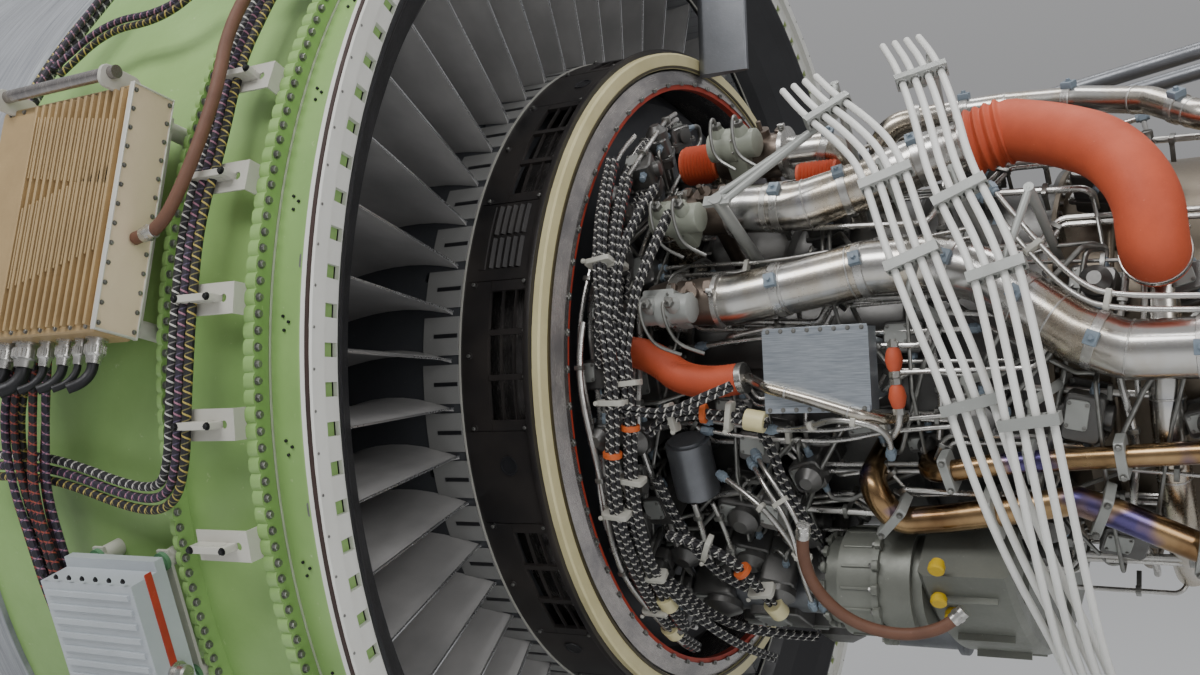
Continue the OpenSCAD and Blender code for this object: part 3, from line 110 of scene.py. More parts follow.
# FAN CASE IN GREEN PRIMER
# The fan case and its flanges are light alloy under a satin green primer, a little darker where hands
# and oil have been, with fine scratches and pale scuffs.


def srgb(red, green, blue):
    """A colour as it looks on paper, 0 to 255, as the shader's own numbers."""
    return tuple(((v / 255 + 0.055) / 1.055) ** 2.4 if v > 10 else v / 3295 for v in (red, green, blue))


class Wire:
    """One output in a finish, so that its maths reads as an expression."""

    def __init__(self, bench, socket):
        self.bench, self.socket = bench, socket

    def maths(self, operation, *values):
        return self.bench.node("ShaderNodeMath", {"operation": operation}, dict(enumerate(values)))

    def __add__(self, v): return self.maths("ADD", self, v)
    def __sub__(self, v): return self.maths("SUBTRACT", self, v)
    def __mul__(self, v): return self.maths("MULTIPLY", self, v)
    def above(self, v): return self.maths("GREATER_THAN", self, v)
    def sine(self): return self.maths("SINE", self)

    def ramp(self, *stops):
        """A grey ramp: pairs of place and brightness."""
        return self.bench.node("ShaderNodeValToRGB", {"stops": [(p, (v, v, v)) for p, v in stops]},
                               {0: self})


class Bench:
    """Builds nodes in one tree."""

    def node(self, kind, settings, inputs, out=0):
        made = self.tree.nodes.new(kind)
        for key, value in settings.items():
            if key == "stops":
                stops = made.color_ramp.elements
                while len(stops) < len(value):
                    stops.new(0.5)
                for stop, (place, shade) in zip(stops, value):
                    stop.position, stop.color = place, (*shade, 1)
            else:
                setattr(made, key, value)
        for key, value in inputs.items():
            self.feed(made.inputs[key], value)
        return Wire(self, made.outputs[out])

    def feed(self, socket, value):
        if isinstance(value, Wire):
            self.tree.links.new(value.socket, socket)
        elif socket.type == "RGBA" and len(value) == 3:
            socket.default_value = (*value, 1)
        else:
            socket.default_value = value


class Finish(Bench):
    """A paint, plating or bare metal. Plain numbers go straight onto the shader's sockets."""

    def __init__(self, name, colour, rough=0.45, metal=0.0, **plain_values):
        self.material = bpy.data.materials.new(name)
        self.material.use_nodes = True
        self.tree = self.material.node_tree
        self.shader = self.tree.nodes["Principled BSDF"]
        self.colour, self.rough = colour, rough
        self.put("Base Color", colour)
        self.put("Roughness", rough)
        self.put("Metallic", metal)
        for key, value in plain_values.items():
            self.put(key.replace("_", " "), value)

    def put(self, socket, value):
        self.feed(self.shader.inputs[socket], value)

    def space(self, stretch=(1, 1, 1), turn=(0, 0, 0), output="Object"):
        where = self.node("ShaderNodeTexCoord", {}, {}, output)
        return self.node("ShaderNodeMapping", {}, {0: where, "Scale": stretch, "Rotation": turn})

    def noise(self, scale, detail=3.0, where=None, rough=0.55):
        where = where or self.space()
        return self.node("ShaderNodeTexNoise", {}, {"Vector": where, "Scale": scale, "Detail": detail,
                                                    "Roughness": rough}, "Fac")

    def mix(self, share, first, second):
        """From the first colour to the second by share."""
        return self.node("ShaderNodeMix", {"data_type": "RGBA"}, {0: share, 6: first, 7: second}, 2)

    def bump(self, height, depth, strength=1.0):
        self.put("Normal", self.node("ShaderNodeBump", {}, {"Height": height, "Distance": depth,
                                                            "Strength": strength}))


def worn(name, colour, dark, pale, rough=0.45, metal=0.0, blotch=3.0, grain=160.0, dirt=0.5, scuffs=0.35,
         depth=0.0002, stretch=(1, 1, 1), **plain_values):
    """A finish with broad stains, fine grain, small pale scuffs and a slight unevenness."""
    made = Finish(name, colour, rough, metal, **plain_values)
    where = made.space(stretch)
    stains = made.noise(blotch, 5.0, where, 0.6).ramp((0.35, 0.0), (0.72, 1.0))
    fine = made.noise(grain, 2.0, where)
    specks = made.noise(grain * 0.4, 4.0, made.space((1, 1, 1), (0.4, 0.9, 0.2)), 0.7).ramp((0.66, 0.0),
            (0.74, 1.0))
    shade = made.mix(stains * dirt, colour, dark)
    shade = made.mix(specks * scuffs, shade, pale)
    made.put("Base Color", shade)
    made.put("Roughness", (stains * 0.14 + fine * 0.16 - 0.12) + rough)
    made.bump(fine + stains * 0.5, depth)
    return made


def dress(made, *nodes):
    """Gives CAD nodes their finish."""
    for node in nodes:
        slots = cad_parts[node].data.materials
        slots.clear()
        slots.append(made.material)


def at(x, y, z):
    """A frame moved by X, Y and Z."""
    return Matrix.Translation((x, y, z))


def roll(degrees):
    """A frame turned about X."""
    return Matrix.Rotation(math.radians(degrees), 4, "X")


QUARTER = Matrix.Rotation(math.radians(90), 4, "Y")


def clock(x, r, a):
    """A place from its station aft, its radius and its clock angle up from the left side."""
    a = math.radians(a)
    return Vector((x, -r * math.cos(a), r * math.sin(a)))


def stand(x, r, a, turn=0.0):
    """A frame on the engine whose X runs aft, Y up the clock and Z outwards, spun about Z by turn."""
    return (Matrix.Translation(clock(x, r, a)) @ roll(90 - a)
            @ Matrix.Rotation(math.radians(turn), 4, "Z"))


def facing(place, ahead, beside=(0, 0, 1)):
    """A frame at a place whose Z runs ahead and whose X lies towards beside."""
    w = Vector(ahead).normalized()
    u = Vector(beside) - w * w.dot(Vector(beside))
    if u.length < 1e-4:
        u = w.orthogonal()
    u.normalize()
    return Matrix.Translation(place) @ Matrix((u, w.cross(u), w)).transposed().to_4x4()


SHAFT = facing((0, 0, 0), (1, 0, 0))


def corners(width, height, cut, steps=2):
    """A rectangle's outline with rounded corners."""
    points = []
    for k, (sx, sy) in enumerate([(1, -1), (1, 1), (-1, 1), (-1, -1)]):
        for j in range(steps + 1):
            t = math.radians(90 * (k - 1) + 90 * j / steps)
            points.append((sx * (width / 2 - cut) + cut * math.cos(t),
                           sy * (height / 2 - cut) + cut * math.sin(t)))
    return points


class Piece:
    """A mesh in the making, with its points in metres."""

    def __init__(self):
        self.points, self.faces, self.lays = [], [], []

    def loft(self, rings, caps=True, run=None, girth=1.0, closed=False):
        """Skins from ring to ring. run and girth lay out the pattern along and round it."""
        n, first, count = len(rings[0]), len(self.points), len(rings)
        run = run or list(range(count))
        for ring in rings:
            self.points.extend(Vector(p) for p in ring)
        for i in range(count if closed else count - 1):
            a, b = first + i * n, first + (i + 1) % count * n
            s, t = run[i], run[i + 1] if i + 1 < count else run[i] + 1
            for k in range(n):
                m = (k + 1) % n
                self.faces.append((a + k, a + m, b + m, b + k))
                u, v = k / n * girth, (k + 1) / n * girth
                self.lays.append([(u, s), (v, s), (v, t), (u, t)])
        if caps and not closed:
            self.faces.append(tuple(range(first + n - 1, first - 1, -1)))
            self.faces.append(tuple(range(first + (count - 1) * n, first + count * n)))
            self.lays += [[(0, 0)] * n] * 2
        return self

    def turned(self, place, profile, sides=20, closed=False):
        """A solid of revolution about a frame's Z, from pairs of height and radius."""
        return self.loft([[place @ Vector((r * math.cos(2 * math.pi * k / sides),
                                           r * math.sin(2 * math.pi * k / sides), z)) for k in range(sides)]
                          for z, r in profile], closed=closed)

    def block(self, place, width, height, low, high, cut=0.002, edge=0.001, steps=2):
        """A box along a frame's Z with rounded corners and broken edges."""
        rings = [(low, edge), (low + edge, 0), (high - edge, 0), (high, edge)]
        return self.loft([[place @ Vector((x, y, z)) for x, y in
                           corners(width - 2 * e, height - 2 * e, max(cut - e, 0.0001), steps)]
                          for z, e in rings])

    def tube(self, path, radius, sides=12, caps=True):
        """A round bar swept along points. radius is one number, or one for each point. Its pattern is laid
        out once round and in metres along."""
        radii = radius if hasattr(radius, "__len__") else [radius] * len(path)
        path = [Vector(p) for p in path]
        ways = [(path[min(i + 1, len(path) - 1)] - path[max(i - 1, 0)]).normalized()
                for i in range(len(path))]
        side = ways[0].orthogonal().normalized()
        rings, run = [], [0.0]
        for i, (p, w, r) in enumerate(zip(path, ways, radii)):
            side = (side - w * side.dot(w)).normalized()
            other = w.cross(side)
            rings.append([p + r * (side * math.cos(2 * math.pi * k / sides)
                                   + other * math.sin(2 * math.pi * k / sides)) for k in range(sides)])
            if i:
                run.append(run[-1] + (p - path[i - 1]).length)
        return self.loft(rings, caps, run)

    def add(self, other, place=Matrix()):
        first = len(self.points)
        self.points.extend(place @ p for p in other.points)
        self.faces.extend(tuple(first + k for k in face) for face in other.faces)
        self.lays.extend(other.lays)
        return self

    def mesh(self, name, made=None, crease=35):
        mesh = bpy.data.meshes.new(name)
        mesh.from_pydata(self.points, [], self.faces)
        lay = mesh.uv_layers.new(name="lay")
        lay.data.foreach_set("uv", [c for corner in self.lays for uv in corner for c in uv])
        mesh.polygons.foreach_set("use_smooth", [True] * len(self.faces))
        mesh.set_sharp_from_angle(angle=math.radians(crease))
        if made:
            mesh.materials.append(made.material)
        return mesh

    def make(self, name, made, body="engine", replaces=(), slot=None, crease=35):
        """The finished piece, on its body."""
        return settle(name, self.mesh(name, made, crease), body, replaces)


def settle(name, mesh, body="engine", replaces=()):
    piece = bpy.data.objects.new(name, mesh)
    bpy.context.scene.collection.objects.link(piece)
    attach(piece, body)
    if replaces:
        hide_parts(*replaces)
    return piece


class Tree(Bench):
    """A tree of geometry nodes whose inputs are named sizes."""

    def __init__(self, name, sizes):
        self.tree = bpy.data.node_groups.new(name, "GeometryNodeTree")
        for label, kind in sizes:
            self.tree.interface.new_socket(label, in_out="INPUT", socket_type="NodeSocket" + kind)
        self.tree.interface.new_socket("Geometry", in_out="OUTPUT", socket_type="NodeSocketGeometry")
        self.sizes = {s.name: s.identifier for s in self.tree.interface.items_tree if s.in_out == "INPUT"}
        group = self.tree.nodes.new("NodeGroupInput")
        self.inputs = {label: Wire(self, group.outputs[label]) for label, _ in sizes}

    def end(self, shape):
        shape = self.node("GeometryNodeRealizeInstances", {}, {0: shape})
        shape = self.node("GeometryNodeSetMaterial", {},
                          {"Geometry": shape, "Material": self.inputs["Finish"]})
        self.tree.links.new(shape.socket, self.tree.nodes.new("NodeGroupOutput").inputs[0])

    def run(self, name, **values):
        """The tree's result with these sizes, as a plain mesh."""
        carrier = bpy.data.objects.new(name, bpy.data.meshes.new(name))
        bpy.context.scene.collection.objects.link(carrier)
        modifier = carrier.modifiers.new("tree", "NODES")
        modifier.node_group = self.tree
        for label, value in values.items():
            modifier[self.sizes[label]] = value
        evaluated = carrier.evaluated_get(bpy.context.evaluated_depsgraph_get())
        mesh = bpy.data.meshes.new_from_object(evaluated)
        carrier.modifiers.remove(modifier)
        bpy.data.objects.remove(carrier)
        mesh.name = name
        return mesh


round_row = Tree("row_round_the_shaft", [
    ("Unit", "Object"), ("Count", "Int"), ("Station", "Float"), ("Radius", "Float"), ("Clock", "Float"),
    ("StationStep", "Float"), ("ClockStep", "Float"), ("Finish", "Material")])
_in = round_row.inputs
_index = round_row.node("GeometryNodeInputIndex", {}, {})
_angle = (_in["Clock"] + _index * _in["ClockStep"]) * (math.pi / 180)
_side, _up = _angle.maths("COSINE", _angle) * -1.0, _angle.sine()
_place = round_row.node("ShaderNodeCombineXYZ", {}, {0: _in["Station"] + _index * _in["StationStep"],
                                                     1: _side * _in["Radius"], 2: _up * _in["Radius"]})
_out = round_row.node("ShaderNodeCombineXYZ", {}, {0: 0.0, 1: _side, 2: _up})
_turn = round_row.node("FunctionNodeAxesToRotation", {"primary_axis": "Z", "secondary_axis": "X"},
                       {0: _out, 1: (1, 0, 0)})
_dots = round_row.node("GeometryNodePoints", {}, {"Count": _in["Count"], "Position": _place})
_shape = round_row.node("GeometryNodeObjectInfo", {"transform_space": "ORIGINAL"}, {"Object": _in["Unit"]},
                        "Geometry")
round_row.end(round_row.node("GeometryNodeInstanceOnPoints", {}, {"Points": _dots, "Instance": _shape,
                                                                  "Rotation": _turn}))


def row(name, unit, made, count, x, r, a, dx=0.0, da=0.0, body="engine"):
    """Repeats a small piece round the engine or along it. The unit's X lies aft and its Z outwards."""
    sample = bpy.data.objects.new(name + "_unit", unit.mesh(name + "_unit"))
    bpy.context.scene.collection.objects.link(sample)
    mesh = round_row.run(name, Unit=sample, Count=count, Station=float(x), Radius=float(r), Clock=float(a),
                         StationStep=float(dx), ClockStep=float(da), Finish=made.material)
    bpy.data.objects.remove(sample)
    return settle(name, mesh, body)


def bolt(size, washer=True, sides=6):
    """A bolt head on its washer, standing on Z = 0, sized across its corners."""
    piece = Piece()
    if washer:
        piece.turned(Matrix(), [(0, size * 0.68), (size * 0.14, size * 0.68)], 10)
    return piece.turned(Matrix(), [(0, size * 0.5), (size * 0.52, size * 0.5), (size * 0.6, size * 0.4)],
                        sides)


green = worn("green_primer", srgb(150, 186, 114), srgb(112, 148, 80), srgb(206, 216, 176), 0.42, blotch=2.2,
             grain=90, dirt=0.6, scuffs=0.45)
zinc = worn("zinc_bolts", srgb(150, 150, 146), srgb(84, 82, 78), srgb(215, 214, 210), 0.38, 0.85, blotch=30)
black_oxide = worn("black_bolts", srgb(44, 44, 46), srgb(24, 24, 26), srgb(90, 90, 92), 0.45, 0.5,
                   blotch=30)
dress(green, "fan_case", "rear_case")
FLANGE_R, FLANGE_BOLTS, SCALLOP_RISE, SCALLOP_STEPS = 1.719, 304, 0.006, 6
AFT_CASE_R = 1.6702
for name, x0, x1 in [("aft_flange_scallops", 1.7917, 1.8203), ("middle_flange_scallops", 1.5257, 1.5403)]:
    rings = []
    for k in range(FLANGE_BOLTS * SCALLOP_STEPS, 0, -1):
        rise = SCALLOP_RISE * min(1, 1.5 * abs(math.sin(math.pi * k / SCALLOP_STEPS)))
        low, high = 1.7, FLANGE_R - 0.0058 + rise
        rings.append([clock(x, r, 360 * k / (FLANGE_BOLTS * SCALLOP_STEPS))
                      for x, r in [(x0, low), (x1, low), (x1, high), (x0, high)]])
    Piece().loft(rings, closed=True).make(name, green)
row("front_flange_bolts", bolt(0.022), zinc, 36, 0.019, 1.7005, 5, da=10)
for name, x, look in [("aft_flange_bolts", 1.8204, zinc), ("middle_flange_bolts", 1.5404, zinc)]:
    head = Piece().add(bolt(0.015), QUARTER)
    row(name, head, look, FLANGE_BOLTS, x, FLANGE_R - 0.013, 180 / FLANGE_BOLTS, da=360 / FLANGE_BOLTS)
studs = Piece()
for dx, dy in [(0, 0), (0.012, 0.017), (-0.004, 0.03)]:
    studs.add(bolt(0.007, False, 8), at(dx, dy, 0))
row("case_studs", studs, black_oxide, 40, 1.862, AFT_CASE_R, 3, da=9)
row("case_scuff_pads", Piece().block(Matrix(), 0.02, 0.03, 0, 0.0015, 0.004), zinc, 20, 1.905, AFT_CASE_R,
    8, da=18)
# A pale bright finish: real pale trim on some edges, and a painted highlight on others.
trim_and_highlight = worn("trim_and_painted_highlight", srgb(225, 224, 215), srgb(180, 178, 166), srgb(245, 244, 240), 0.35, 0.4)
# A thin pale ring at the aft flange's foot: a painted highlight along the edge between flange and case.
Piece().turned(SHAFT, [(1.821, 1.6704), (1.821, 1.674), (1.8245, 1.674), (1.8245, 1.6704)], 300,
               True).make("flange_foot_seal", trim_and_highlight)

# CONTAINMENT WRAP
# Many turns of dry fabric over the blades, under a grey resin skin that was drawn round by hand and
# keeps the streaks of the squeegee.
wrap = Finish("wrap_skin", srgb(140, 143, 148), 0.5)
_streak = wrap.noise(3.0, 6.0, wrap.space((60.0, 1.2, 1.2)), 0.65)
_fine = wrap.noise(2.0, 5.0, wrap.space((420.0, 3.0, 3.0)), 0.6)
_tone = (_streak * 0.6 + _fine * 0.4).ramp((0.36, 0.0), (0.64, 1.0))
wrap.put("Base Color", wrap.mix(_tone, srgb(104, 107, 113), srgb(176, 179, 184)))
wrap.put("Roughness", _tone * 0.18 + 0.36)
wrap.bump(_fine + _streak * 0.6, 0.0008)
dress(wrap, "containment_wrap")

# DUCT LINER AND LIP
# The inner wall of the fan duct is pale acoustic lining with fine holes. It ends in a dark moulded lip
# that rolls outwards into the white ring; a thin pale ring where the vanes end is a painted highlight.
liner = Finish("acoustic_liner", srgb(150, 152, 154), 0.5)
_holes = liner.node("ShaderNodeTexVoronoi", {"distance": "EUCLIDEAN"}, {"Scale": 220.0, "Randomness": 0.0},
                    "Distance")
liner.put("Base Color", liner.mix(_holes.ramp((0.18, 0.0), (0.24, 1.0)), srgb(46, 46, 48),
                                  srgb(152, 154, 157)))
dress(liner, "duct_liner")
lip = worn("lip_black", srgb(38, 38, 41), srgb(22, 22, 24), srgb(92, 92, 96), 0.34, blotch=5, grain=120,
           dirt=0.5, scuffs=0.25)
dress(lip, "rear_lip")
# A thin pale ring where the vanes end: a painted highlight on the lip's edge.
Piece().turned(SHAFT, [(1.8035, 1.4499), (1.8035, 1.446), (1.8075, 1.446), (1.8075, 1.4512)],
               300, True).make("vane_tip_seal", trim_and_highlight)

# WHITE RING
# The aft ring that the reverser latches onto: white enamel on machined alloy, with a dark brown band
# on its shoulder that is painted shade for its shaded outer rim, and a green primed tab in each of its
# slots.
white = worn("white_enamel", srgb(226, 226, 220), srgb(196, 194, 184), srgb(240, 240, 238), 0.36, blotch=6,
             dirt=0.3, scuffs=0.2)
# Dark brown for the ring's shoulder: painted shade where its outer rim lies in shadow.
rim_shade_brown = worn("painted_rim_shade", srgb(58, 40, 34), srgb(34, 26, 24), srgb(96, 80, 72), 0.6, blotch=9)
dress(white, "rear_ring")
Piece().turned(SHAFT, [(1.9855, 1.7378), (1.9845, 1.7402), (1.994, 1.7402), (1.996, 1.7355)],
               300, True).make("ring_shoulder_strip", rim_shade_brown)
RING_SLOTS = 128
pale_green = worn("pale_green_tab", srgb(196, 206, 150), srgb(150, 164, 104), srgb(222, 228, 190), 0.45)
row("ring_tabs", Piece().block(Matrix(), 0.014, 0.026, 0, 0.016, 0.003), pale_green, RING_SLOTS, 1.9732,
    1.676, 180 / RING_SLOTS, da=360 / RING_SLOTS)
row("ring_rivets", Piece().turned(QUARTER, [(0, 0.0035), (0.0012, 0.0028)], 8),
    zinc, RING_SLOTS, 2.0001, 1.729, 0, da=360 / RING_SLOTS)

# OUTLET GUIDE VANES
# Fifty forged titanium vanes carry the fan case from the hub frame. Each is polished by hand, and a
# bright strip along its trailing edge is a painted highlight. Curved pale platforms close the gaps between
# their roots.
titanium = Finish("vane_titanium", srgb(172, 174, 179), 0.34, 0.25)
_grain = titanium.noise(3.0, 4.0, titanium.space((6.0, 50.0, 50.0)))
_haze = titanium.noise(4.0, 4.0)
titanium.put("Base Color", titanium.mix(_haze.ramp((0.3, 0.0), (0.7, 1.0)), srgb(162, 161, 160),
                                        srgb(202, 200, 198)))
titanium.put("Roughness", _grain * 0.2 + _haze * 0.12 + 0.2)
# A bright metal for the strip along each vane's trailing edge: a painted highlight.
tail_highlight_paint = worn("painted_tail_highlight", srgb(214, 215, 216), srgb(170, 170, 170), srgb(240, 240, 240), 0.25,
                   0.9)


def aerofoil(chord, thick, camber, points=11):
    """A closed section from nose to tail along X, with its camber towards Y."""
    upper, lower = [], []
    for k in range(points + 1):
        t = 0.5 - 0.5 * math.cos(math.pi * k / points)
        half = thick * 2.6 * (0.2969 * t ** 0.5 - 0.126 * t - 0.3516 * t ** 2 + 0.2843 * t ** 3
                              - 0.09 * t ** 4) + 0.0012
        bow = camber * 4 * t * (1 - t)
        upper.append((t * chord, bow + half))
        lower.append((t * chord, bow - half))
    return lower + upper[::-1]


VANES, HUB_SKIN = 50, 1.0002
VANE_STEP = 360 / VANES
vanes, tails, plates, gaps = Piece(), Piece(), Piece(), Piece()
section = aerofoil(0.384, 0.020, 0.020)
for i in range(VANES):
    a = 2 + VANE_STEP * i
    rings = []
    for r in (HUB_SKIN, 1.012, 1.04, 1.15, 1.3, 1.41, 1.438, 1.4488):
        fillet = 1 + 0.5 * max(0, 1 - (r - 1.0) / 0.03) + 0.3 * max(0, 1 - (1.45 - r) / 0.03)
        place = stand(1.408, r, a)
        rings.append([place @ Vector((x, 0.010 + (y - 0.010) * fillet, 0)) for x, y in section])
    vanes.loft(rings)
    low, high = stand(1.7905, 1.003, a), stand(1.7905, 1.4475, a)
    tails.loft([[p @ Vector((x, y, 0)) for x, y in [(0, -0.0012), (0.0055, -0.001), (0.0055, 0.003),
                                                    (0, 0.0034)]] for p in (low, high)])
    for piece, spread, x0, x1, lift in [(plates, 2.9, 1.70, 1.8165, 0.0035), (gaps, 0.3, 1.735, 1.814,
            0.0050)]:
        middle = a + VANE_STEP / 2
        rings = []
        for k in range(5):
            turn = middle + spread * (k / 2 - 1)
            rings.append([clock(x, r, turn) for x, r in [(x0, HUB_SKIN), (x1, HUB_SKIN),
                                                         (x1 - 0.002, 1.0 + lift),
                                                         (x0 + 0.002, 1.0 + lift)]])
        piece.loft(rings[::-1])
vanes.make("guide_vanes", titanium, replaces=["outlet_guide_vanes"])
# The bright strips on the trailing edges are painted highlights.
tails.make("vane_tail_edges", tail_highlight_paint)
pale_grey = worn("pale_grey_paint", srgb(146, 146, 144), srgb(112, 112, 110), srgb(182, 182, 178), 0.45)
plates.make("vane_platforms", pale_grey)
# The black strips between the platforms are partly seals and partly painted shade in the gaps.
gaps.make("platform_seals", lip)
dress(worn("inner_frame_grey", srgb(70, 72, 76), srgb(44, 45, 48), srgb(110, 112, 116), 0.5),
      "fan_hub_frame", "splitter")

# BLACK FAIRING
# A ring of carbon composite behind the vanes, in satin black, with screwed panels, window grilles that
# let air out of the core bay, and louvres. A pale edge strip runs round its front.
carbon = Finish("fairing_black", srgb(33, 32, 34), 0.4)
_cloud = carbon.noise(5.0, 5.0)
_weave = carbon.node("ShaderNodeTexWave", {"wave_type": "BANDS", "bands_direction": "DIAGONAL"},
                     {"Vector": carbon.space(), "Scale": 260.0, "Distortion": 0.4}, "Fac")
carbon.put("Base Color", carbon.mix(_cloud.ramp((0.3, 0.0), (0.75, 1.0)), srgb(26, 25, 27),
                                    srgb(58, 53, 50)))
carbon.put("Roughness", _cloud * 0.25 + 0.26)
carbon.bump(_weave, 0.0001)
dress(carbon, "hub_fairing")


def curved_panel(x0, x1, a0, a1, low, high, lean=0.002, steps=4):
    """A raised panel that follows the shaft's roundness, with leaning sides."""
    rings = []
    for k in range(steps + 1):
        a = a0 + (a1 - a0) * k / steps
        rings.append([clock(x, r, a) for x, r in [(x0, low), (x1, low), (x1 - lean, high),
                                                  (x0 + lean, high)]])
    return Piece().loft(rings[::-1])


PANEL_FRONT, GRILLE_FRONT, GRILLE_AFT, PANEL_AFT = 1.832, 1.9097, 2.0233, 2.032
fairing, screws_at = Piece(), []
WINDOWS = (37.4, 2.4, -34, -70, -106, -142, -182, -218, -253, -288)
for c, after in zip(WINDOWS, WINDOWS[1:] + (37.4 - 360,)):
    for x0, x1, a0, a1 in [(PANEL_FRONT, GRILLE_FRONT, -11, 11), (GRILLE_AFT, PANEL_AFT, -11, 11),
                           (GRILLE_FRONT, GRILLE_AFT, -11, -9.5), (GRILLE_FRONT, GRILLE_AFT, 9.5, 11),
                           (GRILLE_FRONT, GRILLE_AFT, -3.72, -2.88),
                           (GRILLE_FRONT, GRILLE_AFT, 2.88, 3.72)]:
        fairing.add(curved_panel(x0, x1, c + a0, c + a1, 0.9995, 1.0026, 0.0008, 8 if a1 - a0 > 9 else 1))
    for x in (1.9452, 1.9842):
        for k in (-1, 0, 1):
            fairing.add(curved_panel(x, x + 0.0036, c + 6.6 * k - 2.9, c + 6.6 * k + 2.9, 0.997, 1.0016,
                                     0.0005, 3))
    fairing.add(curved_panel(PANEL_FRONT, PANEL_AFT, after + 11.15, c - 11.15, 0.9995, 1.0022, 0.002, 6))
    screws_at += [(x, c + a) for x, a in [(2.022, -3.3), (2.022, 3.3), (1.856, 10.6), (2.012, 10.6),
                                          (1.856, -10.6), (2.012, -10.6), (1.852, 0)]]
fairing.make("fairing_panels", carbon)
louvres, ovals = Piece(), Piece()
for a0 in (20.5, -88.5, -124.5, -196, -232):
    louvres.add(curved_panel(1.861, 1.884, a0 - 5.2, a0 + 5.2, 1.002, 1.0055, 0.002, 5))
    for k in range(5):
        for side in (-2.7, 2.7):
            louvres.add(curved_panel(1.890 + 0.021 * k, 1.908 + 0.021 * k, a0 + side - 2.4, a0 + side + 2.4,
                                     1.002, 1.0095, 0.008, 3))
louvres.make("fairing_louvres", carbon)
for x, a in [(1.965, 54.6), (1.945, -13.9), (1.924, -49.1), (1.945, -160), (1.945, -270)]:
    ovals.turned(stand(x, 1.0021, a), [(0, 0.026), (0.003, 0.0255), (0.003, 0.021), (0.0008, 0.0205)], 24)
ovals.make("fairing_ovals", lip)
bosses, screws = Piece(), Piece()
for x, a in screws_at:
    bosses.turned(stand(x, 1.0018, a), [(0, 0.0095), (0.003, 0.0085)], 14)
    screws.add(bolt(0.010, False), stand(x, 1.0046, a))
bosses.make("fairing_bosses", carbon)
screws.make("fairing_screws", zinc)
Piece().turned(SHAFT, [(1.8185, HUB_SKIN), (1.8185, 1.0042), (1.8225, 1.0042), (1.8225, HUB_SKIN)], 240,
               True).make("fairing_edge_strip", trim_and_highlight)
Piece().turned(SHAFT, [(2.016, HUB_SKIN), (2.020, 1.0105), (2.030, 1.0135), (2.0375, 1.0115),
                       (2.0385, HUB_SKIN)], 240, True).make("fairing_aft_lip", carbon)

# COWL SUPPORT RINGS
# The ring that the core cowl's front edge lands on is cream enamel, with clips over black windows. The
# silver ring inside it is polished alloy with drawn streaks, and a red silicone seal fills its mouth.
cream = worn("cream_enamel", srgb(226, 216, 168), srgb(170, 158, 108), srgb(240, 234, 205), 0.4, blotch=7,
             dirt=0.35)
dress(cream, "cowl_support_ring")
clips, recesses = Piece(), Piece()
for k in range(10):
    for a in (13.2, 5.6, -0.7, -8.5):
        clips.block(stand(2.043, 0.984, a + 36 * k), 0.013, 0.030, 0, 0.014, 0.004)
    for a, half in [(9.4, 2.9), (2.4, 2.3), (-4.6, 3.0), (-15.7, 6.3)]:
        recesses.add(curved_panel(2.0402, 2.050, a + 36 * k - half, a + 36 * k + half, 0.975, 0.9965, 0.001,
                                  5))
clips.make("cowl_ring_clips", cream)
recesses.make("cowl_ring_recesses", lip)
Piece().turned(SHAFT, [(2.0605, 0.951), (2.0605, 0.9585), (2.0645, 0.9585), (2.0645, 0.951)], 240,
               True).make("ring_groove_strip", worn("olive_brown", srgb(74, 66, 44), srgb(48, 42, 30),
                                                    srgb(120, 110, 84)))
polished = Finish("polished_ring", srgb(160, 158, 158), 0.28, 0.9)
_drawn = polished.noise(2.4, 6.0, polished.space((8.0, 3.0, 3.0)), 0.7)
_lines = polished.noise(2.0, 4.0, polished.space((700.0, 8.0, 8.0)), 0.6)
polished.put("Base Color", polished.mix(_drawn.ramp((0.35, 0.0), (0.65, 1.0)), srgb(140, 137, 137),
                                        srgb(180, 174, 170)))
polished.put("Roughness", _lines * 0.16 + _drawn * 0.14 + 0.1)
polished.bump(_lines, 0.0001)
dress(polished, "frame_ring")
red = worn("red_silicone", srgb(184, 62, 40), srgb(128, 42, 30), srgb(214, 130, 110), 0.55, blotch=12)
dress(red, "fire_seal")
seal_clip = Piece().block(Matrix(), 0.004, 0.020, 0, 0.012, 0.003)
seal_clip.block(Matrix(), 0.012, 0.007, 0.004, 0.012, 0.002)
row("seal_clips", seal_clip, zinc, 60, 2.0842, 0.894, 0, da=6)

# STEEL AIR DUCTS
# Hot air from the compressor is led back in thin-walled stainless pipes, bent and butt welded, with
# straw and blue heat marks, weld beads and clamped joints. A ring main feeds the turbine end.


def places(rows):
    """Route points in millimetres and clock degrees, as places."""
    return [clock(x / 1000, r / 1000, a) for x, r, a in rows]


def flow(points, times=3):
    """Softens a route of straight runs into an even curve."""
    for _ in range(times):
        cut = [points[0]]
        for p, q in zip(points, points[1:]):
            cut += [p.lerp(q, 0.25), p.lerp(q, 0.75)]
        points = cut + [points[-1]]
    return points


def bent(points, bend, step=9):
    """Rounds a pipe's corners to its bend radius."""
    path = [points[0]]
    for a, b, c in zip(points, points[1:], points[2:]):
        before, after = (b - a).normalized(), (c - b).normalized()
        turn = before.angle(after)
        if turn < 0.02:
            path.append(b)
            continue
        reach = min(bend * math.tan(turn / 2), (b - a).length * 0.48, (c - b).length * 0.48)
        radius = reach / math.tan(turn / 2)
        side = (after - before * before.dot(after)).normalized()
        count = max(2, math.ceil(math.degrees(turn) / step))
        for i in range(count + 1):
            t = turn * i / count
            path.append(b - before * reach + before * (radius * math.sin(t))
                        + side * (radius * (1 - math.cos(t))))
    return path + [points[-1]]


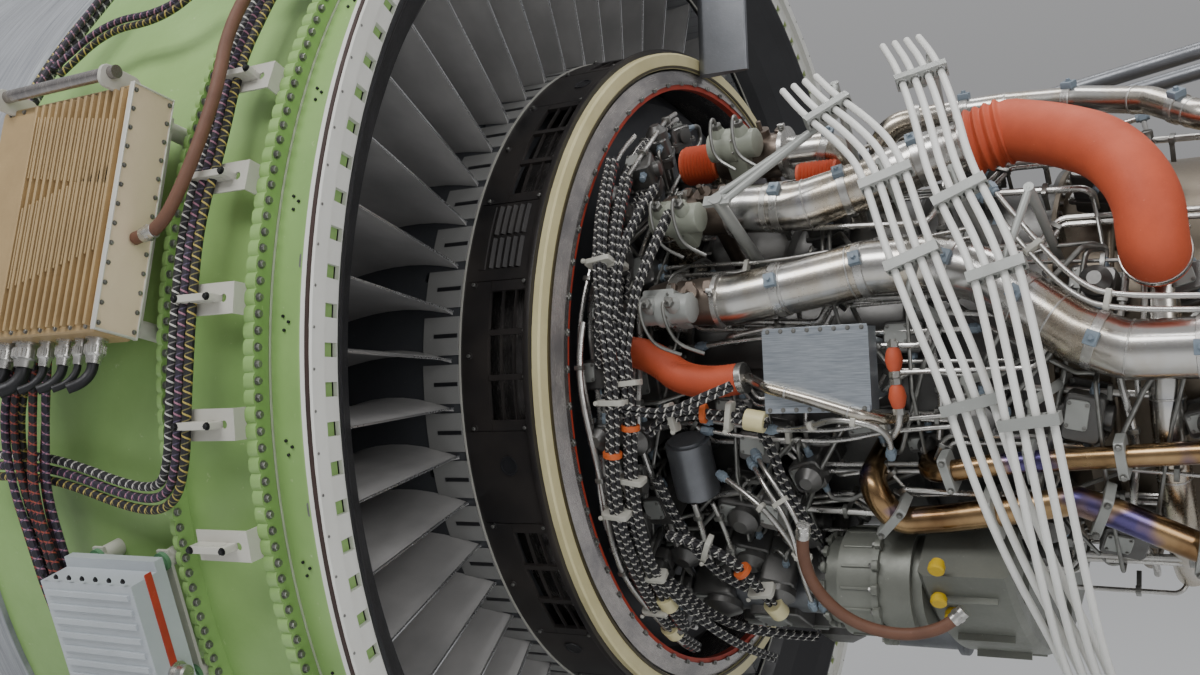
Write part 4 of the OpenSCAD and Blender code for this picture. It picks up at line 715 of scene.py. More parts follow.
def station(path, share):
    """A frame on a route at a share of its length: Z runs along it and X points away from the shaft."""
    lengths = [(q - p).length for p, q in zip(path, path[1:])]
    left = share * sum(lengths)
    for p, q, length in zip(path, path[1:], lengths):
        if left <= length:
            break
        left -= length
    here = p.lerp(q, min(left / length, 1))
    return facing(here, q - p, (0, here.y, here.z))


def collar(piece, path, share, radius, width, edge=0.0012, sides=20):
    """A round band on a route."""
    return piece.turned(station(path, share), [(-width / 2, radius - edge), (edge - width / 2, radius),
                                               (width / 2 - edge, radius), (width / 2, radius - edge)],
                        sides)


steel = Finish("duct_steel", srgb(196, 192, 184), 0.24, 1.0)
_long = steel.noise(3.0, 5.0, steel.space((2.0, 1.0, 1.0)), 0.6)
_fine = steel.noise(160.0, 3.0)
_heat = steel.mix(_long.ramp((0.42, 0.0), (0.6, 1.0)), srgb(200, 198, 194), srgb(184, 174, 158))
steel.put("Base Color", steel.mix(steel.noise(7.0, 3.0).ramp((0.62, 0.0), (0.8, 1.0)), _heat,
                                  srgb(160, 160, 168)))
steel.put("Roughness", _fine * 0.14 + _long * 0.12 + 0.12)
DUCTS = [(0.064, bent(places([[2415.3, 700, 36], [2451, 700, 36], [2600, 700, 35], [2777, 705, 39],
                              [2900, 715, 43.5], [3010, 730, 45]]), 0.19)),
         (0.066, bent(places([[2425.3, 700, 13.6], [2461, 700, 13.6], [2630, 700, 15.7], [2807, 700, 18.2],
                              [2953, 700, 18.4], [3082, 700, 14.9], [3181, 700, 8.5], [3275, 700, 3],
                              [3380, 700, -0.6], [3760, 700, -0.8], [3760, 522, -0.8]]), 0.11)),
         (0.046, bent(places([[2505.3, 700, 56], [2541, 700, 56], [2640, 700, 56], [2640, 472, 56]]),
                      0.09)),
         (0.034, bent(places([[2720, 472, 66], [2720, 700, 66], [2930, 700, 71.5], [3060, 700, 71.6],
                              [3250, 700, 66], [3416, 700, 58.5], [3529, 700, 48.9], [3700, 700, 42],
                              [3700, 522, 42]]), 0.08)),
         (0.044, bent(places([[2375, 700, 56], [2300, 700, 56], [2300, 531, 56]]), 0.06)),
         (0.044, bent(places([[2285, 700, 36], [2200, 700, 36], [2200, 531, 36]]), 0.06)),
         (0.044, bent(places([[2295, 700, 13.6], [2210, 700, 13.6], [2210, 531, 13.6]]), 0.06)),
         (0.038, places([[3443, 595, a] for a in range(25, -66, -3)])),
         (0.014, bent(places([[2500, 722, -2.9], [2580, 795, -4.6], [2690, 800, -6.8], [2800, 800, -9.4],
                              [2850, 760, -11], [2880, 690, -12]]), 0.05))]
ducts, beads = Piece(), Piece()
for radius, path in DUCTS:
    ducts.tube(path, radius, 28)
    count = max(2, int(sum((q - p).length for p, q in zip(path, path[1:])) / 0.16))
    for k in range(1, count):
        collar(beads, path, k / count, radius + 0.0014, 0.005, 0.0008, 28)
ducts.make("air_ducts", steel, replaces=["steel_ducts"])
zinc_bright = worn("bright_steel", srgb(206, 204, 200), srgb(140, 138, 132), srgb(238, 238, 236), 0.28, 0.9,
                   blotch=24)
beads.make("duct_weld_beads", zinc_bright)
dress(zinc_bright, "duct_couplings")
saddles, straps = Piece(), Piece()
blue_grey = worn("blue_grey_paint", srgb(132, 146, 158), srgb(92, 104, 116), srgb(176, 186, 194), 0.42)
for duct, shares in [(0, (0.22, 0.5, 0.82)), (1, (0.1, 0.24, 0.38, 0.5, 0.62, 0.76)), (2, (0.3,)),
                     (3, (0.3, 0.5, 0.72))]:
    radius, path = DUCTS[duct]
    for share in shares:
        collar(straps, path, share, radius + 0.003, 0.022, 0.001, 28)
        place = station(path, share)
        saddles.block(place @ at(radius + 0.006, 0, 0), 0.018, 0.034, -0.014, 0.014, 0.003)
        saddles.add(bolt(0.012), place @ at(radius + 0.015, 0, 0) @ QUARTER)
straps.make("duct_straps", zinc_bright)
saddles.make("duct_saddles", blue_grey)

# AIR VALVES
# Three butterfly valves sit where the ducts start. The bodies are cast in pale alloy, held by two-part
# band clamps, and a small air actuator stands on each with its ports, nuts and thin sense tubes.
cast = worn("valve_casting", srgb(128, 116, 106), srgb(84, 74, 68), srgb(176, 166, 156), 0.36, 0.85,
            blotch=14)
olive_grey = worn("actuator_olive", srgb(160, 164, 150), srgb(112, 116, 104), srgb(198, 200, 190), 0.42)
light_grey = worn("actuator_grey", srgb(168, 170, 166), srgb(122, 124, 120), srgb(202, 204, 200), 0.4, 0.2)
dress(cast, "valve_bodies", "valve_disc_1", "valve_disc_2", "valve_disc_3")
DUCT_LINE = 0.7
bands, nuts, sense, sleeves = Piece(), Piece(), Piece(), Piece()
for x, a, look, top, tag in [(2.44, 56, olive_grey, 50.5, "top"), (2.35, 36, olive_grey, 29.8, "middle"),
                             (2.36, 13.6, light_grey, 10.8, "low")]:
    for dx in (-0.062, 0.062):
        place = facing(clock(x + dx, DUCT_LINE, a), (1, 0, 0), clock(0, 1, a))
        bands.turned(place, [(-0.010, 0.066), (-0.006, 0.074), (0.006, 0.074), (0.010, 0.066)], 28)
        bands.block(place @ at(0.078, 0, 0), 0.020, 0.014, -0.009, 0.009, 0.002)
        nuts.add(bolt(0.011), place @ at(0.080, 0.008, 0) @ roll(-90))
    line = [clock(x - 0.135 + 0.205 * k / 6, DUCT_LINE, a) for k in range(7)]
    sleeves.tube(line, [0.052, 0.060, 0.062, 0.058, 0.062, 0.062, 0.062], 28)
    for k in (1, 2, 3):
        sleeves.block(stand(x - 0.105 + 0.05 * k, 0.742, a + 1.5), 0.022, 0.030, -0.01, 0.026, 0.005)
    drum = stand(x - 0.050, 0.778, top) @ Matrix.Scale(1.18, 4)
    head = Piece().turned(drum @ QUARTER,
                          [(-0.062, 0.026), (-0.058, 0.034), (-0.02, 0.034), (-0.018, 0.040),
                           (0.004, 0.040), (0.006, 0.033), (0.054, 0.033), (0.060, 0.024)], 26)
    head.block(drum, 0.050, 0.056, -0.075, 0.010, 0.008)
    head.block(drum @ at(-0.02, 0.030, 0), 0.075, 0.020, -0.05, 0.02, 0.004)
    for dx in (-0.030, 0.024):
        port = drum @ at(dx, 0, 0)
        head.turned(port, [(0.020, 0.020), (0.036, 0.018), (0.048, 0.012)], 18)
        nuts.turned(port, [(0.046, 0.0125), (0.058, 0.0125), (0.060, 0.0105)], 6)
        start = port @ Vector((0, 0, 0.058))
        sense.tube(flow([start, port @ Vector((0, -0.004, 0.078)), port @ Vector((0.002, -0.028, 0.080)),
                         port @ Vector((0.006, -0.062, 0.056)), port @ Vector((0.014, -0.086, 0.018)),
                         port @ Vector((0.060, -0.100, -0.01))]), 0.0048, 8)
    for k in range(8):
        t = 2 * math.pi * k / 8
        nuts.add(bolt(0.007, False), drum @ QUARTER
                 @ at(0.0365 * math.cos(t), 0.0365 * math.sin(t), 0.004))
    head.make("valve_actuator_" + tag, look, replaces=["valve_actuators"] if tag == "top" else ())
sleeves.make("valve_body_sleeves", cast)
bands.make("valve_band_clamps", zinc_bright)
nuts.make("valve_nuts", zinc)
sense.make("valve_sense_tubes", zinc)

# ORANGE DUCT
# The customer duct is moulded in salmon silicone over glass cloth, with four bellows folds, clamped
# with flat bands onto the steel pipe and onto the ring main's elbow.
salmon = worn("salmon_silicone", srgb(206, 92, 58), srgb(160, 64, 42), srgb(230, 150, 120), 0.6, blotch=8,
              grain=260, depth=0.0003)
upper_path = DUCTS[0][1]
onward = (upper_path[-1] - upper_path[-2]).normalized()
start = upper_path[-1] + onward * 0.0003
orange_path = [start] + flow([start + onward * 0.1161] + places(
    [[3250, 762, 41], [3360, 772, 35], [3438, 782, 25], [3443, 740, 17], [3443, 672, 17]]), 4)
radius = 0.073
folded = [start + onward * (0.116 * k / 40) for k in range(40)]
radii = [radius + (0.010 * (0.5 - 0.5 * math.cos(2 * math.pi * (k / 40 * 0.116 - 0.012) / 0.024))
                  if 4 < k < 38 else 0) for k in range(40)]
bellows_path = folded + [p for p in orange_path
                         if (p - start).dot(onward) > 0.1165 or (p - start).length > 0.2]
Piece().tube(bellows_path, radii + [radius] * (len(bellows_path) - 40), 36).make("orange_air_duct", salmon,
                                                                               replaces=["orange_duct"])
straps = Piece()
for share in (0.012, 0.97):
    collar(straps, bellows_path, share, radius + 0.003, 0.016, 0.001, 36)
    straps.block(station(bellows_path, share) @ at(radius + 0.008, 0, 0), 0.014, 0.030, -0.008, 0.008,
                 0.002)
boots = Piece()
for x, a, radius in [(2.240, 56, 0.052), (2.620, 45, 0.030)]:
    path = [clock(x - 0.05 + 0.11 * k / 44, DUCT_LINE, a) for k in range(45)]
    boots.tube(path, [radius + 0.004 * math.cos(2 * math.pi * k / 4) * (2 < k < 42) for k in range(45)], 28)
elbow = flow(places([[2121, 720, 3.6], [2196, 720, 3.3], [2261, 720, 1], [2311, 720, -2.4],
                     [2395, 720, -3.7], [2492, 720, -2.9]]), 4)
boots.tube(elbow, [0.037 + 0.005 * math.sin(math.pi * k / (len(elbow) - 1)) + 0.0012 * (k % 2)
                   for k in range(len(elbow))], 28)
collar(straps, elbow, 0.02, 0.042, 0.014)
collar(straps, elbow, 0.985, 0.040, 0.018)
riser = flow(places([[2886, 765, 3], [2888, 768, -2.4], [2892, 768, -9.2], [2890, 768, -12],
                     [2860, 750, -15], [2830, 700, -15]]), 3)
straps.tube(riser, 0.0085, 14)
for share in (0.16, 0.44):
    place = station(riser, share)
    boots.turned(place, [(-0.030, 0.011), (-0.020, 0.017), (0.0, 0.021), (0.020, 0.016), (0.028, 0.011)],
                 20)
    for z in (-0.036, 0.034):
        straps.turned(place @ at(0, 0, z), [(-0.007, 0.014), (0.007, 0.014)], 6)
boots.make("seal_boot_bellows", salmon, replaces=["seal_boots"])
straps.make("orange_duct_bands", zinc_bright)

# SHEET METAL BOX
# A thin box of brushed alloy shields the valve controls. It was folded up, flanged and screwed round
# its top and bottom edges.
brushed = Finish("brushed_alloy", srgb(172, 180, 188), 0.34, 0.75)
_brush = brushed.noise(2.0, 4.0, brushed.space((9.0, 220.0, 220.0)), 0.6)
brushed.put("Base Color", brushed.mix(_brush.ramp((0.3, 0.0), (0.7, 1.0)), srgb(150, 158, 168),
                                      srgb(196, 202, 208)))
brushed.put("Roughness", _brush * 0.2 + 0.24)
dress(brushed, "sheet_box")
lo, hi = (Vector(p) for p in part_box("sheet_box"))
box_out = -lo.y
flanges, screws = Piece(), Piece()
for z in (lo.z + 0.004, hi.z - 0.004):
    flanges.block(at((lo.x + hi.x) / 2, -box_out + 0.004, z) @ roll(90),
                  hi.x - lo.x - 0.004, 0.016, 0.0, 0.0035, 0.002)
    for k in range(8):
        screws.add(bolt(0.009), at(lo.x + 0.015 + (hi.x - lo.x - 0.03) * k / 7, -box_out + 0.001, z)
                   @ roll(90))
flanges.make("sheet_box_flanges", brushed)
screws.make("sheet_box_screws", zinc)

# BRONZE DUCTS
# The two lower pipes carry hotter air. They are nickel alloy that has turned bronze with heat, with a
# blue and purple patch beside the weld, and sit in bolted clamp blocks.
bronze = Finish("bronze_heat", srgb(150, 118, 82), 0.28, 1.0)
_tint = bronze.noise(5.0, 4.0)
_warm = bronze.mix(_tint.ramp((0.35, 0.0), (0.6, 1.0)), srgb(120, 92, 64), srgb(182, 152, 112))
bronze.put("Base Color", bronze.mix(bronze.noise(6.0, 2.0, bronze.space((1, 1, 1), (0.5, 0.2, 1.1)))
                                    .ramp((0.58, 0.0), (0.68, 1.0)), _warm, srgb(92, 84, 128)))
bronze.put("Roughness", _tint * 0.2 + 0.16)
BRONZE = [(0.034, bent(places([[2768, 472, -26], [2768, 700, -26], [2820, 700, -35], [2951, 700, -33.7],
                               [3072, 700, -32], [3243, 700, -29], [3330, 700, -32], [3488, 700, -39.7],
                               [3700, 700, -42], [3700, 522, -42]]), 0.06)),
          (0.026, bent(places([[2900, 472, -25], [2900, 672, -25], [3044, 672, -23], [3149, 672, -22],
                               [3505, 672, -20.2], [3680, 672, -20.2], [3680, 522, -20.2]]), 0.06))]
pipes, blocks, heads = Piece(), Piece(), Piece()
for radius, path in BRONZE:
    pipes.tube(path, radius, 26)
    for share in (0.22, 0.40, 0.58, 0.74):
        place = station(path, share)
        blocks.block(place, 2 * radius + 0.014, 2 * radius + 0.040, -0.011, 0.011, 0.010, steps=3)
        for side in (-1, 1):
            heads.add(bolt(0.013), place @ at(radius + 0.007, side * (radius + 0.010), 0)
                      @ QUARTER)
pipes.make("bronze_air_pipes", bronze, replaces=["bronze_ducts"])
blocks.make("bronze_pipe_clamps", light_grey)
heads.make("bronze_clamp_bolts", zinc)

# GENERATOR FEEDERS
# Eight thick white cables in two ribbons of four climb the left side from the generator. Grey clamp
# bars, bolted at both ends, hold them flat.
cable_white = worn("cable_white", srgb(236, 236, 232), srgb(206, 204, 196), srgb(250, 250, 248), 0.42,
                   blotch=10, dirt=0.3)
LEFT = [[2620, 0, 50], [2704, 0, 42.5], [2810, 0, 35.4], [2890, 0, 28.9], [2963, 0, 15.9], [3030, 0, 5],
        [3082, 0, -3.5], [3135, 0, -17.9], [3185, 0, -30.4], [3228, 0, -41.8], [3245, 0, -52]]
RIGHT = [[2840, 0, 62], [2925, 0, 49.9], [3000, 0, 37], [3054, 0, 25.2], [3152, 8, 12.7], [3190, 24, 3],
         [3215, 33, -6.2], [3237, 34, -17.9], [3250, 34, -30.2], [3256, 34, -41.8], [3262, 34, -52]]


def aside(path, shift, lift=0.0):
    """A route moved sideways along the engine's skin, and outwards by lift."""
    moved = []
    for i, p in enumerate(path):
        way = (path[min(i + 1, len(path) - 1)] - path[max(i - 1, 0)]).normalized()
        out = Vector((0, p.y, p.z)).normalized()
        moved.append(p + way.cross(out).normalized() * shift + out * lift)
    return moved


feeders = Piece()
for rows in (LEFT, RIGHT):
    middle = flow(places([[x, 930 + lift, a] for x, lift, a in rows]), 3)
    for k in (-1.5, -0.5, 0.5, 1.5):
        feeders.tube(aside(middle, 0.031 * k), 0.0088, 16)
feeders.make("feeders", cable_white, replaces=["feeder_cables"])
dress(light_grey, "feeder_clamps")

# CORE HARNESS
# The wiring of the core is braided in black with pale tracer threads. Four bundles run down the frame
# in comb clamps, each with an orange sleeve and cream tape, and thinner bundles branch off to the units.


def braid(name, ground, tracer, second, rough=0.62):
    """A plaited sleeve: a fine crossed weave with two coloured threads winding through it."""
    made = Finish(name, ground, rough)
    lay = made.node("ShaderNodeUVMap", {"uv_map": "lay"}, {})
    around = made.node("ShaderNodeSeparateXYZ", {}, {0: lay}, 0)
    length = made.node("ShaderNodeSeparateXYZ", {}, {0: lay}, 1)
    right, left = (around + length * 42.0) * 2 * math.pi, (around - length * 42.0) * 2 * math.pi
    weave = (around * 6 + length * 170.0).maths("FRACT", around * 6 + length * 170.0)
    cross = (around * 6 - length * 170.0).maths("FRACT", around * 6 - length * 170.0)
    thread = made.mix(right.sine().above(0.86), ground, tracer)
    made.put("Base Color", made.mix(left.sine().above(0.93), thread, second))
    made.bump(weave * cross, 0.0006)
    return made


black_white = braid("braid_black_white", srgb(34, 33, 36), srgb(206, 204, 196), srgb(120, 118, 116))
black_red = braid("braid_black_red", srgb(34, 31, 36), srgb(160, 74, 56), srgb(120, 60, 66))
black_yellow = braid("braid_black_yellow", srgb(32, 31, 34), srgb(186, 166, 88), srgb(120, 112, 70))
purple = braid("braid_purple", srgb(42, 37, 48), srgb(170, 118, 138), srgb(86, 76, 100))
LOOKS = {"white": black_white, "red": black_red, "yellow": black_yellow, "purple": purple}


def strand(path, angle, spread, twist=2.2):
    """One strand of a bundle: the route moved to one side and winding slowly about its middle."""
    made, run = [], 0.0
    for i, p in enumerate(path):
        run += (p - path[i - 1]).length if i else 0
        way = (path[min(i + 1, len(path) - 1)] - path[max(i - 1, 0)]).normalized()
        side = way.cross(Vector((0, p.y, p.z)).normalized()).normalized()
        t = angle + twist * run
        made.append(p + (side * math.cos(t) + side.cross(way) * math.sin(t)) * spread)
    return made


FIFTH_TURN, THIRD_TURN = 1.257, 2.1
harness = {look: Piece() for look in LOOKS}
combs, sleeves, tapes = Piece(), Piece(), Piece()
CORE_RUNS = [[[2105, 880, 40], [2125, 880, 30], [2144, 880, 19.8], [2170, 880, 10], [2194, 880, 2.8],
              [2198, 880, -8.4], [2165, 880, -18.3], [2145, 880, -29.4], [2140, 870, -43], [2120, 860, -58],
              [2120, 860, -70]],
             [[2150, 850, 37], [2160, 850, 25], [2180, 850, 14], [2220, 850, 2], [2230, 850, -8],
              [2200, 850, -20], [2180, 850, -31], [2170, 850, -44], [2165, 850, -58]],
             [[2252, 812, -12], [2300, 810, -9.5], [2376, 800, -8.6], [2436, 790, -9], [2570, 780, -11]],
             [[2230, 800, -33.5], [2300, 800, -35], [2380, 800, -38], [2430, 800, -45], [2450, 800, -58]]]
for n, rows in enumerate(CORE_RUNS):
    middle = flow(places(rows), 3)
    turn, spread = (FIFTH_TURN, 0.0125) if n < 2 else (THIRD_TURN, 0.0085)
    for k, look in enumerate(["white", "white", "white", "red", "white"][:5 if n < 2 else 3]):
        harness[look].tube(strand(middle, k * turn, spread), 0.0068, 9)
    for share in ((0.2, 0.42, 0.6, 0.82) if n < 2 else (0.25, 0.7)):
        place = station(middle, share)
        combs.block(place, 0.044, 0.074, -0.007, 0.007, 0.008)
        combs.add(bolt(0.010), place @ at(0.026, 0.034, 0) @ QUARTER)
    collar(sleeves, middle, 0.5, 0.025, 0.014)
    collar(tapes, middle, 0.9, 0.0268, 0.05)
for rows in ([[2108, 800, 66], [2112, 810, 52], [2120, 815, 40], [2118, 830, 26], [2125, 830, 12],
              [2130, 815, 0]],
             [[2110, 760, 60], [2130, 745, 44], [2125, 750, 30], [2150, 740, 18], [2140, 745, 4],
              [2160, 735, -8]],
             [[2118, 790, 8], [2130, 800, -4], [2128, 790, -18], [2122, 795, -34], [2118, 800, -52],
              [2112, 800, -68]],
             [[2150, 830, -30], [2190, 850, -42], [2250, 860, -52], [2300, 865, -62], [2330, 865, -76]],
             [[2160, 800, -44], [2230, 815, -54], [2290, 820, -62], [2400, 815, -66], [2480, 800, -72]],
             [[2200, 720, -24], [2240, 735, -38], [2270, 730, -48], [2330, 735, -56], [2420, 730, -60]],
             [[2470, 720, -8], [2540, 715, -16], [2560, 720, -26], [2590, 715, -34], [2600, 700, -40]],
             [[2198, 880, -6], [2260, 860, -7.5], [2340, 850, -8], [2420, 840, -6], [2500, 820, -4]],
             [[2250, 850, 34], [2230, 860, 28], [2200, 866, 20], [2196, 870, 8]],
             [[2310, 846, 28], [2290, 850, 22], [2250, 860, 12], [2230, 862, 2]]):
    middle = flow(places(rows), 3)
    for k in range(3):
        harness["white"].tube(strand(middle, k * THIRD_TURN, 0.0085), 0.0062, 9)
pale_clamp = worn("pale_clamp", srgb(198, 196, 186), srgb(150, 148, 138), srgb(226, 224, 216), 0.42)
combs.make("harness_combs", pale_clamp, replaces=["core_harness"])
orange = worn("orange_sleeve", srgb(214, 104, 48), srgb(170, 76, 36), srgb(236, 160, 110), 0.55)
sleeves.make("harness_sleeves", orange)
tapes.make("harness_tapes", cream)

# CASE WIRING
# Thick braids run over the fan case: three from the top past the control box to its plugs, and a deep
# bundle down to the ignition box and the lower case, all in bolted comb brackets.
middle = flow(places([[1690, 1765, a] for a in range(76, 27, -8)] + [
    [1675, 1765, 23], [1690, 1765, 16], [1662, 1765, 11], [1660, 1765, 5], [1646, 1765, -2],
    [1630, 1765, -6], [1575, 1755, -8.6], [1450, 1741, -8.8], [1235, 1735, -7], [1095, 1735, -6.4],
    [900, 1735, -6.4]]), 3)
for shift, look in [(-0.026, "yellow"), (0, "purple"), (0.026, "white")]:
    harness[look].tube(aside(middle, shift), 0.0102, 10)
for rows, looks, radius in [([[1040, 1772, 37], [979, 1772, 28.3], [941, 1772, 21.5], [926, 1772, 16.9]],
                             ["yellow", "purple", "white"], 0.009),
                            ([[1443, 1772, 33], [1344, 1772, 30], [1131, 1772, 30.6], [1014, 1772, 26.5]],
                             ["purple", "yellow"], 0.009),
                            ([[1160, 1800, 1.8], [1150, 1800, -0.4], [1100, 1780, -3], [1089, 1770, -7],
                              [1122, 1765, -12.1], [1142, 1765, -17], [1180, 1765, -26], [1200, 1765, -34]],
                             ["red", "purple", "red", "yellow", "white"], 0.009),
                            ([[1240, 1800, 1.8], [1235, 1800, -0.6], [1200, 1780, -3.6], [1160, 1770, -8],
                              [1180, 1765, -14], [1196, 1765, -21], [1220, 1765, -30]],
                             ["red", "red", "purple", "red"], 0.009)]:
    middle = flow(places(rows), 3)
    for k, look in enumerate(looks):
        harness[look].tube(strand(middle, k * 2 * math.pi / len(looks), 0.019 if len(looks) > 3 else 0.012,
                                  1.2), radius, 9)
for look, made in LOOKS.items():
    harness[look].make("braids_" + look, made, replaces=["case_harness"] if look == "white" else ())
dress(pale_clamp, "case_brackets")
combs, heads = Piece(), Piece()
for a in (22, 14, 5.2, -3.5, -12, 32, 44, 56, 64):
    place = stand(1.700, 1.752, a)
    combs.block(place, 0.11, 0.016, -0.008, 0.030, 0.003)
    for dx in (-0.026, 0, 0.026):
        combs.turned(place @ at(dx, 0, 0.013) @ roll(90),
                     [(-0.009, 0.0135), (0.009, 0.0135)], 16)
    for dx in (-0.048, 0.048):
        heads.add(bolt(0.013), place @ at(dx, 0, 0.030))
combs.make("case_combs", pale_clamp)
heads.make("case_comb_bolts", black_oxide)

# BROWN HOSES
# Two fire-sleeved hoses in brown silicone end in silver ferrules and bent steel tubes.
brown = worn("brown_fire_sleeve", srgb(112, 76, 58), srgb(80, 54, 44), srgb(152, 116, 94), 0.6, blotch=14,
             grain=300, depth=0.0004)
hoses, ferrules = Piece(), Piece()
for rows in ([[1756, 1796, 52], [1754, 1806, 41], [1700, 1812, 30], [1682, 1812, 25], [1712, 1812, 20],
              [1696, 1812, 15.6], [1664, 1812, 12.4], [1620, 1812, 10], [1546, 1812, 9.5]],
             [[2690, 952, -24], [2670, 952, -29], [2680, 952, -35], [2740, 954, -41], [2850, 954, -43.5],
              [2950, 940, -42.5], [3000, 900, -41]]):
    path = flow(places(rows), 3)
    hoses.tube(path, 0.0145, 18)
    for share in (0.02, 0.97):
        collar(ferrules, path, share, 0.0165, 0.036)
        collar(ferrules, path, share, 0.0185, 0.012, sides=6)
hoses.make("fire_sleeved_hoses", brown, replaces=["brown_hoses"])
ferrules.make("hose_ferrules", zinc_bright)

# SMALL PIPES
# Fuel, oil and sensing lines are thin steel tube, with nuts at both ends and cushioned clips.
TUBES = [[[3104, 820, 26.6], [3162, 820, 20.7], [3227, 820, 14.4], [3298, 820, 8.8], [3367, 820, 6.3],
          [3600, 820, 5.3]],
         [[2555, 740, -13], [2645, 745, -13], [2743, 800, -10], [2845, 800, -11.5], [2862, 765, -14.5],
          [2854, 745, -18]],
         [[2174, 620, 25], [2300, 620, 25], [2500, 620, 24], [2700, 620, 26], [2900, 620, 27],
          [3060, 620, 29]],
         [[2310, 600, 5], [2400, 600, 6], [2540, 590, 7], [2700, 590, 6.5], [2900, 600, 6], [3040, 600, 6]],
         [[2330, 640, -14], [2450, 640, -16], [2600, 640, -17], [2700, 640, -17], [2820, 630, -15],
          [3100, 620, -14]],
         [[2380, 700, -24], [2500, 760, -28], [2560, 780, -34], [2580, 780, -44], [2570, 760, -52]],
         [[2480, 700, -20], [2540, 770, -23], [2600, 800, -30], [2600, 820, -40], [2590, 820, -50]],
         [[2265, 560, 66], [2300, 560, 68.5], [2450, 560, 70], [2600, 560, 74], [2800, 560, 76],
          [3050, 560, 78], [3380, 620, 80]]]
tubes, nuts, clips = Piece(), Piece(), Piece()
for n, rows in enumerate(TUBES):
    middle = flow(places(rows), 3)
    for shift in ((0.0,) if n % 2 else (-0.014, 0.014)):
        path = aside(middle, shift)
        tubes.tube(path, 0.0078 if n % 2 else 0.0062, 12)
        for share in (0.01, 0.99):
            collar(nuts, path, share, 0.0135, 0.018, sides=6)
            collar(nuts, path, share, 0.0105, 0.034, sides=12)
    for share in (0.3, 0.62):
        place = station(middle, share)
        clips.block(place, 0.022, 0.046 if not n % 2 else 0.026, -0.006, 0.006, 0.007, steps=3)
tubes.make("small_steel_pipes", zinc_bright, replaces=["slim_tubes"])
nuts.make("small_pipe_nuts", blue_grey)
clips.make("small_pipe_clips", pale_clamp)

# CONTROL BOX
# The engine's electronic controller is a tan anodised casting with cooling fins across its face. Its
# ivory end cover has a bright bent edge and a row of screws, and its plugs hang from the lower side.
tan = worn("tan_anodise", srgb(182, 156, 114), srgb(140, 116, 82), srgb(212, 194, 158), 0.42, 0.1, blotch=6)
ivory = worn("ivory_cover", srgb(226, 208, 178), srgb(188, 170, 138), srgb(240, 230, 210), 0.4)
BOX_BASE, FIN_PITCH = 1.7576, 0.0245
box = stand(1.070, BOX_BASE, 11.5)
shell = Piece().block(box @ at(0.229, 0, 0), 0.458, 0.560, 0.003, 0.104, 0.014, 0.004, 3)
shell.block(box @ at(0.070, 0, 0), 0.118, 0.520, 0.104, 0.108, 0.008)
for k in range(13):
    shell.block(box @ at(0.146 + FIN_PITCH * k, 0, 0), 0.0085, 0.534, 0.104, 0.1195, 0.003)
    if k < 12:
        for y, span in [(0.165 - 0.004 * k, 0.15), (-0.075 + 0.006 * k, 0.19)]:
            shell.block(box @ at(0.1583 + FIN_PITCH * k, y, 0), 0.0045, span, 0.104, 0.1185, 0.002)
shell.make("controller_casting", tan, replaces=["control_box"])
end = box @ at(0.458, 0, 0.060) @ QUARTER
Piece().block(end, 0.112, 0.552, 0.0, 0.012, 0.006).make("controller_cover", ivory,
                                                         replaces=["control_box_cover"])
rims, screws = Piece(), Piece()
for x in (-0.0545, 0.0545):
    rims.block(end @ at(x, 0, 0), 0.004, 0.556, 0.002, 0.0155, 0.001)
for y in (-0.275, 0.275):
    rims.block(end @ at(0, y, 0), 0.108, 0.004, 0.002, 0.0155, 0.001)
for k in range(13):
    for x in (-0.046, 0.046):
        screws.add(bolt(0.0085), end @ at(x, -0.262 + 0.0436 * k, 0.012))
for k in range(9):
    for y in (-0.268, 0.268):
        screws.add(bolt(0.0085), box @ at(0.03 + 0.05 * k, y, 0.104))
rims.make("controller_cover_edge", trim_and_highlight)
screws.make("controller_screws", zinc)
grip = Piece().tube([box @ Vector((x, 0.300, 0.132)) for x in (0.02, 0.06, 0.39, 0.43)], 0.015, 20)
ears = Piece()
for x in (0.042, 0.408):
    ears.block(box @ at(x, 0.290, 0.105) @ QUARTER, 0.110, 0.052, -0.005, 0.005, 0.020, steps=4)
grip.make("controller_grip", polished, replaces=["control_box_handle"])
ears.make("controller_grip_ears", pale_clamp)
plugs, shells = Piece(), Piece()
for x, size in [(0.09, 0.030), (0.165, 0.030), (0.235, 0.017), (0.30, 0.020), (0.35, 0.015), (0.40, 0.022)]:
    place = box @ at(x, -0.280, 0.050) @ roll(90)
    plugs.turned(place, [(0, size * 1.1), (0.005, size * 1.1), (0.005, size * 0.85), (0.014, size * 0.85),
                         (0.014, size), (0.036, size), (0.040, size * 0.8), (0.056, size * 0.7)], 24)
    for k in range(20):
        t = 2 * math.pi * k / 20
        plugs.block(place @ at(size * math.cos(t), size * math.sin(t), 0), 0.003, 0.003, 0.016, 0.034,
                    0.001)
    shells.tube(flow([place @ Vector(p) for p in ((0, 0, 0.05), (0, 0, 0.075), (-0.01, 0.012, 0.10),
                                                  (-0.03, 0.03, 0.115))]), size * 0.55, 12)
plugs.make("controller_plugs", zinc_bright)
shells.make("controller_plug_tails", black_oxide)

